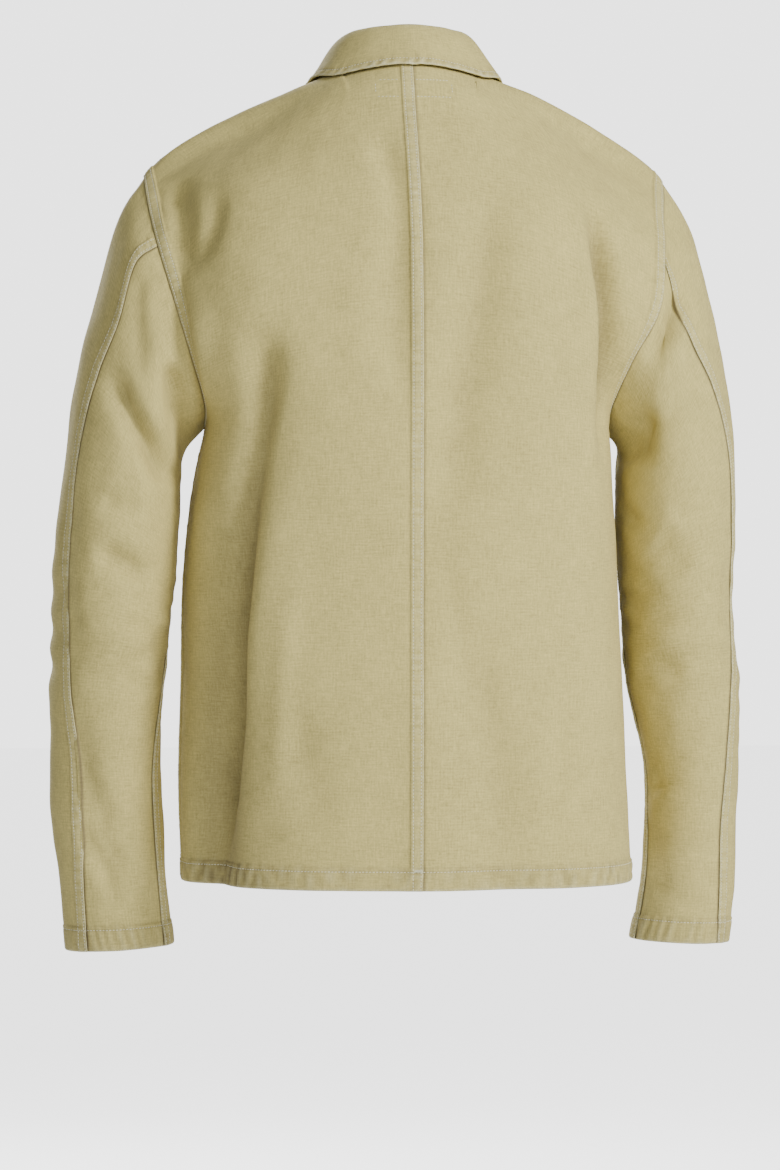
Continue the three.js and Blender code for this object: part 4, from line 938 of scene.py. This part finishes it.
def pocketSheet(name, seed):
    p = pockets[name]
    height = p["top"] - p["bottom"]
    inner = p["half"] - pocketSteps[-1]
    across = evenSteps(-inner, inner, pocketCut["step"])[1:-1]
    x = np.concatenate([pocketSteps - p["half"], across, p["half"] - pocketSteps[::-1]])
    below = evenSteps(24, height - pocketSteps[-1], pocketCut["step"])
    down = np.concatenate([np.arange(0, 16, 1.5), [16.5, 17.3, 18, 19, 20, 21, 22.5], below,
                           height - pocketSteps[::-1][1:]])
    corner = np.clip(down / height - 0.9, 0, 1) / 0.1
    grid = x[None] * (1 - pocketCut["taper"] * corner[:, None])
    z = p["top"] - down[:, None] * np.ones_like(grid)
    w, s = frontPlace((p["xMid"] + grid) * p["side"], z)
    base = torsoPoint(w, s)
    normal = torsoNormal(w, s)
    plain = foldDepth(folds["front"], base) + foldDepth(creases["front"], base)
    if p["side"] < 0:
        plain = plain - underAt(np.abs(s))
    sideways = p["half"] - np.abs(x)[None] * np.ones_like(grid)
    fromBottom = (height - down)[:, None] * np.ones_like(grid)
    toTop = down[:, None] * np.ones_like(grid)
    rim = np.minimum(sideways, fromBottom)
    around = np.where(sideways < fromBottom, toTop, grid)
    bag = pocketCut["bag"] * smooth(8, 40, sideways) * smooth(8, 40, fromBottom)
    rope = hemRelief(toTop, grid, seed, pocketCut["hem"]) * pocketCut["hemRaise"]
    mouth = hill(toTop, 0, 26) * smooth(p["half"], p["half"] - 34, np.abs(grid))
    bag = bag + 1.5 * pocketCut["bag"] * mouth
    lift = plain + pocketCut["lift"] + bag + rope * smooth(0, 4, sideways)
    lift = lift + stitchGroove(rim, fellRows, relief["pocketGroove"]) - 0.5 * smooth(1.0, 0, rim)
    lift = lift + unevenWave(seed + 2, 10, around) * 0.14 * smooth(12, 4, rim)
    lift = lift + unevenField("pocket", seed + 3, grid, z) * smooth(4, 20, rim)
    points = base + normal * lift[..., None]
    pale, dark = hemTone(toTop, grid, seed, pocketCut["hem"])
    rub = unevenWave(seed + 7, 8, around)
    onRim = smooth(11, 9, rim)
    wear = np.maximum(0.85 * washed(rim, 1.2, around, seed + 4) + onRim * (0.2 + 0.15 * rub), pale)
    shade = dark + grooveShade(rim, fellRows) + onRim * 0.1 * np.clip(-rub, 0, 1)
    return sheetOf(points, normal, grid, z, wear, shade, toTop=toTop, sideways=sideways,
                   fromBottom=fromBottom)


# Materials: an input takes a number, a colour or the socket that feeds it
def setInputs(tree, node, inputs):
    for socket, value in inputs.items():
        if isinstance(value, bpy.types.NodeSocket):
            tree.links.new(value, node.inputs[socket])
        else:
            node.inputs[socket].default_value = value


def addNode(tree, kind, inputs, **settings):
    node = tree.nodes.new("ShaderNode" + kind)
    for name, value in settings.items():
        setattr(node, name, value)
    setInputs(tree, node, inputs)
    return node


def newMaterial(name):
    material = bpy.data.materials.new(name)
    material.use_nodes = True
    return material, material.node_tree, material.node_tree.nodes["Principled BSDF"]


def opaque(colour):
    return (*colour, 1)


canvasLook = {
    "base": (0.508, 0.428, 0.151), "pale": (0.66, 0.64, 0.41), "paintedShade": (0.17, 0.135, 0.065), "mottle": 0.198,
    "slub": 0.54, "cloud": 9, "patch": 45, "speck": 560, "yarn": (760, 80), "thread": 0.55, "weaveBump": 0.12,
    "weaveStrength": 0.5, "crumple": 0.5, "crumpleScale": 150, "crumpleStrength": 0.45, "rough": 0.92,
    "specular": 0.25, "sheen": 0.06, "sheenRough": 0.5,
}


def canvasMaterial(name, look):
    material, tree, shader = newMaterial(name)
    uv = addNode(tree, "UVMap", {}, uv_map="cloth").outputs["UV"]
    place = addNode(tree, "TexCoord", {}).outputs["Object"]

    def noise(scale, detail, source, stretch=(1, 1, 1)):
        spot = addNode(tree, "Mapping", {"Vector": source, "Scale": stretch}).outputs["Vector"]
        return addNode(tree, "TexNoise", {"Vector": spot, "Scale": scale, "Detail": detail}).outputs["Fac"]

    def maths(operation, a, b=0):
        return addNode(tree, "Math", {0: a, 1: b}, operation=operation).outputs[0]

    def blend(factor, a, b):
        return addNode(tree, "Mix", {"Factor": factor, 6: a, 7: b}, data_type="RGBA").outputs[2]

    def attribute(name):
        return addNode(tree, "Attribute", {}, attribute_name=name).outputs["Fac"]

    # Single threads are long one way and thin the other
    long, short = look["yarn"]
    warp = noise(1.0, 3, uv, (long, short, 1))
    weft = noise(1.0, 3, uv, (short, long, 1))
    speck = noise(look["speck"], 3, uv)
    cloud = noise(look["cloud"], 4, place)
    patch = noise(look["patch"], 3, place)
    threads = maths("ADD", warp, weft)
    grain = maths("MULTIPLY", maths("SUBTRACT", maths("ADD", threads, speck), 1.5), look["slub"])
    fade = maths("MULTIPLY", maths("SUBTRACT", maths("ADD", cloud, patch), 1.0), look["mottle"])
    lightness = maths("ADD", maths("ADD", grain, fade), 1.0)
    worn = maths("MULTIPLY", attribute("wear"), maths("ADD", maths("MULTIPLY", speck, 0.9), 0.4))
    colour = blend(worn, opaque(look["base"]), opaque(look["pale"]))
    # Painted shade: the shade attribute mixes the base towards this dark colour in stitch grooves, creases,
    # roping dents and under lapped edges
    colour = blend(attribute("shade"), colour, opaque(look["paintedShade"]))
    scaled = addNode(tree, "VectorMath", {0: colour, "Scale": lightness}, operation="SCALE")

    ways = addNode(tree, "SeparateXYZ", {0: uv})
    turns = math.pi / (look["thread"] * mm)
    across, down = (maths("SINE", maths("MULTIPLY", ways.outputs[axis], turns)) for axis in "XY")
    height = maths("ADD", maths("MULTIPLY", maths("MULTIPLY", across, down), 0.3), threads)
    fine = addNode(tree, "Bump", {"Strength": look["weaveStrength"], "Distance": look["weaveBump"] * mm,
                                  "Height": height})
    crumple = addNode(tree, "Bump", {"Strength": look["crumpleStrength"], "Distance": look["crumple"] * mm,
                                     "Height": noise(look["crumpleScale"], 3, uv), "Normal": fine.outputs[0]})
    setInputs(tree, shader, {
        "Base Color": scaled.outputs["Vector"], "Normal": crumple.outputs[0], "Roughness": look["rough"],
        "Specular IOR Level": look["specular"], "Sheen Weight": look["sheen"],
        "Sheen Roughness": look["sheenRough"]})
    return material


threadLook = {"base": (0.68, 0.66, 0.46), "spread": 0.16, "scale": 400, "rough": 0.7, "specular": 0.35}


def threadMaterial(name, look):
    material, tree, shader = newMaterial(name)
    place = addNode(tree, "TexCoord", {}).outputs["Object"]
    spots = addNode(tree, "TexNoise", {"Vector": place, "Scale": look["scale"]}).outputs["Fac"]
    dark, light = ([c * k for c in look["base"]] for k in (1 - look["spread"], 1 + look["spread"]))
    colour = addNode(tree, "Mix", {"Factor": spots, 6: opaque(dark), 7: opaque(light)}, data_type="RGBA")
    setInputs(tree, shader, {"Base Color": colour.outputs[2], "Roughness": look["rough"],
                             "Specular IOR Level": look["specular"]})
    return material


hornLook = {"dark": (0.16, 0.115, 0.062), "light": (0.36, 0.285, 0.175), "stretch": (60, 60, 220),
            "scale": 1.5, "detail": 5, "twist": 1.2, "smooth": 0.28, "rough": 0.48}


def hornMaterial(name, look):
    material, tree, shader = newMaterial(name)
    place = addNode(tree, "TexCoord", {}).outputs["Object"]
    spot = addNode(tree, "Mapping", {"Vector": place, "Scale": look["stretch"]}).outputs["Vector"]
    streak = addNode(tree, "TexNoise", {"Vector": spot, "Scale": look["scale"], "Detail": look["detail"],
                                        "Distortion": look["twist"]}).outputs["Fac"]
    colour = addNode(tree, "Mix", {"Factor": streak, 6: opaque(look["dark"]), 7: opaque(look["light"])},
                     data_type="RGBA")
    rough = addNode(tree, "MapRange", {"Value": streak, "To Min": look["smooth"], "To Max": look["rough"]})
    setInputs(tree, shader, {"Base Color": colour.outputs[2], "Roughness": rough.outputs["Result"]})
    return material


canvas = canvasMaterial("washed canvas", canvasLook)
sewing = threadMaterial("sewing thread", threadLook)
horn = hornMaterial("horn button", hornLook)
print("materials ready")


# Meshes from grids of points
def meshObject(name, verts, faces, material):
    mesh = bpy.data.meshes.new(name)
    mesh.vertices.add(len(verts))
    mesh.vertices.foreach_set("co", np.ravel(verts).astype(np.float32))
    mesh.loops.add(faces.size)
    mesh.loops.foreach_set("vertex_index", faces.ravel().astype(np.int32))
    mesh.polygons.add(len(faces))
    mesh.polygons.foreach_set("loop_start", np.arange(0, faces.size, faces.shape[1], dtype=np.int32))
    mesh.update(calc_edges=True)
    mesh.validate()
    mesh.polygons.foreach_set("use_smooth", np.ones(len(faces), bool))
    mesh.materials.append(material)
    piece = bpy.data.objects.new(name, mesh)
    bpy.context.collection.objects.link(piece)
    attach(piece, "root")
    return piece


def sheetObject(name, sheet, thick):
    points = sheet["points"]
    rows, columns = points.shape[:2]
    at = np.arange(rows * columns).reshape(rows, columns)
    faces = np.stack([at[:-1, :-1], at[:-1, 1:], at[1:, 1:], at[1:, :-1]], axis=-1).reshape(-1, 4)
    corner = points.reshape(-1, 3)
    facing = np.cross(corner[faces[:, 2]] - corner[faces[:, 0]], corner[faces[:, 3]] - corner[faces[:, 1]])
    guide = sheet["normals"].reshape(-1, 3)[faces[:, 0]]
    if np.median(np.sum(facing * guide, axis=1)) < 0:
        faces = faces[:, ::-1]
    piece = meshObject(name, corner * mm, faces, canvas)
    mesh = piece.data
    uv = np.stack([sheet["u"], sheet["v"]], axis=-1).reshape(-1, 2) * mm
    mesh.uv_layers.new(name="cloth").data.foreach_set("uv", uv[faces.ravel()].astype(np.float32).ravel())
    for layerName in ("wear", "shade"):
        layer = mesh.attributes.new(layerName, "FLOAT", "POINT")
        layer.data.foreach_set("value", np.clip(sheet[layerName], 0, 1).astype(np.float32).ravel())
    wall = piece.modifiers.new("wall", "SOLIDIFY")
    wall.thickness = thick * mm
    wall.offset = -1
    wall.use_rim = True
    print("sheet", name, len(faces))
    return piece


def addSheet(node, sheet, thick=cloth["thick"]):
    piece = sheetObject("cloth_" + node, sheet, thick)
    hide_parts(node)


# Stitches: short threads laid along lines on the sheets
def stitchShape():
    sides = 4
    stations = [(-0.5, 0.5, -1.0), (-0.28, 1.05, 0.0), (0.28, 1.05, 0.0), (0.5, 0.5, -1.0)]
    turns = [2 * math.pi * k / sides for k in range(sides)]
    verts = [(along, size * math.cos(turn), size * math.sin(turn), rise)
             for along, size, rise in stations for turn in turns]
    faces = []
    for i in range(len(stations) - 1):
        for k in range(sides):
            a, b = i * sides + k, i * sides + (k + 1) % sides
            faces.append((a, b, b + sides, a + sides))
    last = (len(stations) - 1) * sides
    faces += [(3, 2, 1, 0), (last, last + 1, last + 2, last + 3)]
    return np.array(verts), np.array(faces)


stitchVerts, stitchFaces = stitchShape()


def lineAt(sheet, field, value, byRow=True, keep=None):
    f = np.asarray(field, float) - value
    points, normals = sheet["points"], sheet["normals"]
    use = np.ones(f.shape, bool) if keep is None else keep
    if not byRow:
        f, use = f.T, use.T
        points, normals = points.transpose(1, 0, 2), normals.transpose(1, 0, 2)
    line, ups = [], []
    for i in range(len(f)):
        crossing = np.where((f[i, :-1] * f[i, 1:] <= 0) & use[i, :-1] & use[i, 1:])[0]
        if not len(crossing):
            continue
        j = crossing[0]
        t = f[i, j] / (f[i, j] - f[i, j + 1] + 1e-12)
        line.append(mix(points[i, j], points[i, j + 1], t))
        ups.append(mix(normals[i, j], normals[i, j + 1], t))
    return np.array(line), np.array(ups)


def stitchLine(line, ups, seed, length=thread["length"], gap=thread["gap"]):
    run = np.concatenate([[0], np.cumsum(np.linalg.norm(np.diff(line, axis=0), axis=1))])
    count = max(1, int(run[-1] / (length + gap)))
    draw = np.random.default_rng(seed)
    at = (np.arange(count) + 0.5) * run[-1] / count + draw.uniform(-0.08, 0.08, count)

    def along(values, d):
        return np.stack([np.interp(d, run, values[:, k]) for k in range(3)], axis=1)

    up = unit(along(ups, at))
    forward = unit(along(line, at + 0.6) - along(line, at - 0.6))
    slant = draw.uniform(-0.07, 0.07, count)[:, None] + 0.05
    return layStitches(along(line, at), unit(forward + np.cross(up, forward) * slant), up, length)


def layStitches(place, forward, up, length):
    across = unit(np.cross(up, forward))
    ahead, sideways, high, rise = stitchVerts.T
    size = thread["radius"]
    high = high * size * thread["flat"] + rise * thread["ends"] + thread["above"] - size * thread["sunk"]
    return (place[:, None] + forward[:, None] * (ahead * length)[None, :, None]
            + across[:, None] * (sideways * size)[None, :, None]
            + up[:, None] * high[None, :, None]).reshape(-1, 3)


# A tack: short threads side by side, at the place where two fields of a sheet have the given values
def tackAt(sheet, a, b, length, size, sideways=True, pitch=0.62):
    far = np.where(mainRows(sheet), (a[0] - a[1])**2 + (b[0] - b[1])**2, 1e9)
    i, j = np.unravel_index(np.argmin(far), far.shape)
    points = sheet["points"]
    up = sheet["normals"][i, j]
    along = points[i, j + 1] - points[i, j - 1] if sideways else points[i + 1, j] - points[i - 1, j]
    along = unit(along - up * np.dot(along, up))
    steps = np.linspace(-length / 2, length / 2, int(length / pitch) + 1)
    place = points[i, j] + along * steps[:, None] + up * 0.12
    across = np.cross(up, along)
    lean = np.repeat(unit(across + along * 0.12)[None], len(steps), axis=0)
    return layStitches(place, lean, np.repeat(up[None], len(steps), axis=0), size)


def addStitches(name, lines):
    verts = np.concatenate(lines)
    count = len(verts) // len(stitchVerts)
    faces = (stitchFaces[None] + np.arange(count)[:, None, None] * len(stitchVerts)).reshape(-1, 4)
    meshObject("stitches_" + name, verts * mm, faces, sewing)
    print("stitches", name, count)


# The panels
frontEdge = np.array([0, 0.5, 1, 1.8, 3, 4.4, 5.4, 6, 6.6, 7.4, 8.6, 11, 14]) - cut["frontOverlap"]
tuckedEdge = np.array([-3.4, -1.6, -0.2, 1.2, 3, 5, 8, 11, 14.6])
sheets = {
    "back_left": bodySheet("back", 1, edgeSteps, "over", 190, 100),
    "back_right": bodySheet("back", -1, tuckedEdge, "under", 190, 200),
    "front_left": bodySheet("front", 1, frontEdge, "front", 210, 300),
    "front_right": bodySheet("front", -1, frontEdge, "front", 210, 400),
}
for word, sleeve in sleeves.items():
    sheets["sleeve_top_" + word] = sleeveSheet(sleeve, True, 500 if word == "left" else 600)
    sheets["sleeve_under_" + word] = sleeveSheet(sleeve, False, 700 if word == "left" else 800)
for name in pockets:
    sheets[name] = pocketSheet(name, 900 + len(name))
for name, sheet in sheets.items():
    addSheet(name, sheet)
sheets["collar_leaf"] = leafSheet(1000)
sheets["collar_stand"] = standSheet(1100)
addSheet("collar_leaf", sheets["collar_leaf"], collar["thick"])
addSheet("collar_stand", sheets["collar_stand"], collar["standThick"])


# Stitch lines on the panels
def mainRows(sheet):
    keep = np.ones(sheet["u"].shape, bool)
    keep[:sheet.get("skip", 0)] = False
    if sheet.get("skipEnd"):
        keep[-sheet["skipEnd"]:] = False
    return keep


def rowsFor(sheet, field, values, seed, byRow=True, keep=None):
    keep = mainRows(sheet) if keep is None else keep & mainRows(sheet)
    lines = []
    for i, value in enumerate(values):
        line, ups = lineAt(sheet, field, value, byRow, keep)
        if len(line) > 2:
            lines.append(stitchLine(line, ups, seed + i))
    return lines


# Four-hole buttons on the left front, modelled once and copied
button = {"radius": 10.0, "thick": 3.6, "rim": 2.0, "dish": 0.9, "bevel": 0.5, "hole": 1.15, "circle": 2.9,
          "standOff": 0.6, "heights": [-97, -212, -327, -442, -557]}
neckPatch = {"top": -15, "bottom": -30, "side": 32.5, "innerLeft": 12, "innerRight": 1}
hemRow = cut["hemDepth"] - hemRowIn
cuffRow = cut["cuffDepth"] - hemRowIn
for name in ("back_left", "back_right", "front_left", "front_right"):
    sheet = sheets[name]
    isBack = name.startswith("back")
    lines = rowsFor(sheet, sheet["toHem"], [hemRow], 11, byRow=False)
    armholeOnly = sheet["beside"]
    lines += rowsFor(sheet, sheet["toEdge"], fellRows, 13, keep=armholeOnly & (sheet["toHem"] > 1))
    if isBack:
        lines += rowsFor(sheet, sheet["toEdge"], fellRows, 17, keep=~armholeOnly)
    else:
        onShoulder = (sheet["run"] > cut["neckHalfWidth"] + 2) & (sheet["toTop"] < 14)
        lines += rowsFor(sheet, sheet["toTop"], fellRows, 19, byRow=False, keep=onShoulder)
        lines += rowsFor(sheet, sheet["run"] + cut["frontOverlap"], frontRows, 23)
    if name == "back_left":
        lines += rowsFor(sheet, sheet["run"], fellRows, 29)
        lines.append(tackAt(sheet, (sheet["run"], 5.2), (sheet["toHem"], 17), 8.5, 2.4))
    if isBack:  # the stitching of the inner neck patch comes through below the collar
        height = sheet["points"][..., 2]
        nearNeck = sheet["toTop"] < 60
        inner = neckPatch["innerLeft" if name == "back_left" else "innerRight"]
        between = (sheet["run"] > inner) & (sheet["run"] < 33) & nearNeck
        rows = [neckPatch["top"], neckPatch["bottom"]]
        lines += rowsFor(sheet, height, rows, 73, byRow=False, keep=between)
        between = (height < rows[0]) & (height > rows[1]) & nearNeck
        lines += rowsFor(sheet, sheet["run"], [neckPatch["side"]], 79, keep=between)
    if name == "front_left":
        height = sheet["points"][..., 2]
        for z in button["heights"]:
            for side in (-1, 1):
                lines.append(tackAt(sheet, (sheet["run"], 15.0), (height, z + side * 1.25), 13, 1.7))
            lines.append(tackAt(sheet, (sheet["run"], 21.8), (height, z), 3.4, 1.5, sideways=False))
    addStitches(name, lines)
for word in sleeves:
    top = sheets["sleeve_top_" + word]
    notCap = top["v"] > 1
    lines = rowsFor(top, top["toHem"], [cuffRow], 31, byRow=False, keep=top["toHem"] < 40)
    lines += rowsFor(top, top["fromStart"], fellRows, 37, keep=notCap)
    lines += rowsFor(top, top["fromEnd"], fellRows, 41, keep=notCap)
    under = sheets["sleeve_under_" + word]
    clear = (under["fromStart"] > 0) & (under["fromEnd"] > 0) & (under["toHem"] < 40)
    lines += rowsFor(under, under["toHem"], [cuffRow], 43, byRow=False, keep=clear)
    addStitches("sleeve_" + word, lines)
leaf = sheets["collar_leaf"]
lines = rowsFor(leaf, leaf["toEdge"], [collar["row"]], 47, byRow=False, keep=leaf["side"] > collar["row"])
for half in (leaf["u"] < leaf["u"].mean(), leaf["u"] > leaf["u"].mean()):
    lines += rowsFor(leaf, leaf["side"], [collar["row"]], 53, keep=half & (leaf["toEdge"] > collar["row"]))
addStitches("collar", lines)
lines = []
for name in pockets:
    sheet = sheets[name]
    lines += rowsFor(sheet, sheet["toTop"], [pocketCut["hem"] - hemRowIn], 59, byRow=False)
    for row in fellRows:
        lines += rowsFor(sheet, sheet["fromBottom"], [row], 61, byRow=False, keep=sheet["sideways"] >= row)
        for half in (sheet["u"] < 0, sheet["u"] > 0):
            lines += rowsFor(sheet, sheet["sideways"], [row], 67, keep=half & (sheet["fromBottom"] >= row))
    for end in (-1, 1):
        corner = end * (sheet["u"].max() - 5.2)
        lines.append(tackAt(sheet, (sheet["u"], corner), (sheet["toTop"], 4.5), 7, 2.2))
addStitches("pockets", lines)


def selectOnly(piece=None):
    bpy.ops.object.select_all(action="DESELECT")
    if piece:
        piece.select_set(True)
        bpy.context.view_layer.objects.active = piece


def makeButton():
    selectOnly()
    bpy.ops.mesh.primitive_cylinder_add(vertices=64, radius=button["radius"] * mm, depth=button["thick"] * mm,
                                        location=(0, 0, button["thick"] / 2 * mm))
    blank = bpy.context.object
    bpy.ops.object.transform_apply(location=True, rotation=True, scale=True)
    mesh = blank.data
    bpy.ops.object.mode_set(mode="EDIT")
    bpy.ops.mesh.select_mode(type="FACE")
    bpy.ops.mesh.select_all(action="DESELECT")
    bpy.ops.object.mode_set(mode="OBJECT")
    for face in mesh.polygons:
        face.select = face.normal.z > 0.9
    bpy.ops.object.mode_set(mode="EDIT")
    bpy.ops.mesh.inset(thickness=button["rim"] * mm)
    bpy.ops.mesh.inset(thickness=0.9 * mm, depth=-button["dish"] * mm)
    bpy.ops.mesh.select_all(action="DESELECT")
    bpy.ops.object.mode_set(mode="OBJECT")
    inner = (button["radius"] - button["rim"] - 0.1) * mm
    for edge in mesh.edges:
        a, b = (mesh.vertices[i].co for i in edge.vertices)
        outer = min(math.hypot(a.x, a.y), math.hypot(b.x, b.y)) > inner
        edge.select = outer and abs(a.z - b.z) < 0.1 * mm
    bpy.ops.object.mode_set(mode="EDIT")
    bpy.ops.mesh.select_mode(type="EDGE")
    bpy.ops.mesh.bevel(offset=button["bevel"] * mm, segments=3, profile=0.6)
    bpy.ops.object.mode_set(mode="OBJECT")
    for i in range(4):
        turn = math.radians(45 + 90 * i)
        place = (button["circle"] * math.cos(turn) * mm, button["circle"] * math.sin(turn) * mm, 2 * mm)
        selectOnly()
        bpy.ops.mesh.primitive_cylinder_add(vertices=20, radius=button["hole"] * mm, depth=10 * mm,
                                            location=place)
        drill = bpy.context.object
        bpy.context.view_layer.objects.active = blank
        cutter = blank.modifiers.new("hole", "BOOLEAN")
        cutter.operation = "DIFFERENCE"
        cutter.solver = "EXACT"
        cutter.object = drill
        bpy.ops.object.modifier_apply(modifier=cutter.name)
        bpy.data.objects.remove(drill)
    selectOnly(blank)
    bpy.ops.object.shade_smooth_by_angle(angle=math.radians(32))
    blank.data.materials.append(horn)
    return blank


blank = makeButton()
tackLines = []
for i, z in enumerate(button["heights"]):
    w = frontTravel(np.array([float(z)]), np.zeros(1))
    normal = torsoNormal(w, np.zeros(1))[0]
    base = torsoPoint(w, np.zeros(1))[0] + normal * button["standOff"]
    sidewise = unit(np.cross(np.array([0, 0, 1.0]), normal))
    upward = np.cross(normal, sidewise)
    turn = np.stack([sidewise, upward, normal], axis=1)
    copy = blank.copy()
    copy.data = blank.data.copy()
    copy.name = f"horn_button_{i + 1}"
    bpy.context.collection.objects.link(copy)
    places = np.empty(len(copy.data.vertices) * 3, np.float32)
    copy.data.vertices.foreach_get("co", places)
    places = places.reshape(-1, 3) @ turn.T + base * mm
    copy.data.vertices.foreach_set("co", places.astype(np.float32).ravel())
    copy.data.update()
    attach(copy, "root")
    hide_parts(f"button_{i + 1}")
    level = base + normal * (button["thick"] - button["dish"] - 0.25)
    half = button["circle"] * 0.72
    for side in (-1, 1):
        for lane in (-0.45, 0.0, 0.45):
            ends = [level + sidewise * t * half + upward * (side * half + lane) for t in (-1.0, 0.0, 1.0)]
            tackLines.append(stitchLine(np.array(ends), np.array([normal] * 3), 71 + i, half * 2, 0.01))
bpy.data.objects.remove(blank)
addStitches("buttons", tackLines)
print("buttons ready")


# Camera, light and floor
view = {"distance": 3.2, "azimuth": 175.0, "height": -0.438, "sideways": 0.012, "sensor": 36.0,
        "frameHigh": 1170, "mmPerPixel": 0.86}
azimuth = math.radians(view["azimuth"])
away = np.array([math.sin(azimuth), -math.cos(azimuth), 0])
leftward = np.array([-math.cos(azimuth), -math.sin(azimuth), 0])
cameraData = bpy.data.cameras.new("camera")
camera = bpy.data.objects.new("camera", cameraData)
bpy.context.collection.objects.link(camera)
camera.location = away * view["distance"] + leftward * view["sideways"] + np.array([0, 0, view["height"]])
camera.rotation_euler = (math.radians(90), 0, azimuth)
cameraData.sensor_width = view["sensor"]
cameraData.lens = view["sensor"] * view["distance"] / (view["frameHigh"] * view["mmPerPixel"] * mm)
bpy.context.scene.camera = camera

stage = {"height": -1.45, "size": 40.0, "floorShade": 0.85, "seenFloor": 2.5, "seenAir": 2.9, "air": 0.21}


def seenOnly(tree, strength):
    seen = addNode(tree, "LightPath", {}).outputs["Is Camera Ray"]
    return addNode(tree, "Math", {0: seen, 1: strength}, operation="MULTIPLY").outputs[0]


selectOnly()
bpy.ops.mesh.primitive_plane_add(size=stage["size"], location=(0, 0, stage["height"]))
ground = bpy.context.object
ground.name = "floor"
groundMaterial, groundTree, groundShader = newMaterial("pale floor")
setInputs(groundTree, groundShader, {
    "Base Color": opaque([stage["floorShade"]] * 3), "Roughness": 0.95, "Emission Color": (1, 1, 1, 1),
    "Emission Strength": seenOnly(groundTree, stage["seenFloor"])})
ground.data.materials.append(groundMaterial)

world = bpy.data.worlds.new("studio")
world.use_nodes = True
airTree = world.node_tree
seenAir = seenOnly(airTree, stage["seenAir"] - stage["air"])
strength = addNode(airTree, "Math", {0: seenAir, 1: stage["air"]}, operation="ADD").outputs[0]
setInputs(airTree, airTree.nodes["Background"], {"Color": (1, 1, 1, 1), "Strength": strength})
bpy.context.scene.world = world

lamps = {
    "key": {"place": (-2.25, 2.5, 1.2), "size": 0.8, "power": 155, "colour": (1.0, 1.0, 1.0)},
    "soft": {"place": (-0.3, 3.4, 0.6), "size": 1.6, "power": 52, "colour": (0.96, 0.98, 1.0)},
    "front": {"place": (1.3, -3.0, 1.3), "size": 0.8, "power": 150, "colour": (1.0, 1.0, 1.0)},
    "frontSoft": {"place": (0.3, -3.4, 0.6), "size": 1.6, "power": 46, "colour": (0.95, 0.98, 1.0)},
}
for name, lamp in lamps.items():
    data = bpy.data.lights.new(name, "AREA")
    data.size = lamp["size"]
    data.energy = lamp["power"]
    data.color = lamp["colour"]
    light = bpy.data.objects.new(name, data)
    bpy.context.collection.objects.link(light)
    light.location = lamp["place"]
    aim = np.array([0, 0, -0.35]) - np.array(lamp["place"])
    flat = math.hypot(aim[0], aim[1])
    light.rotation_euler = (math.atan2(flat, -aim[2]), 0, math.atan2(-aim[0], aim[1]))

print("finishing")
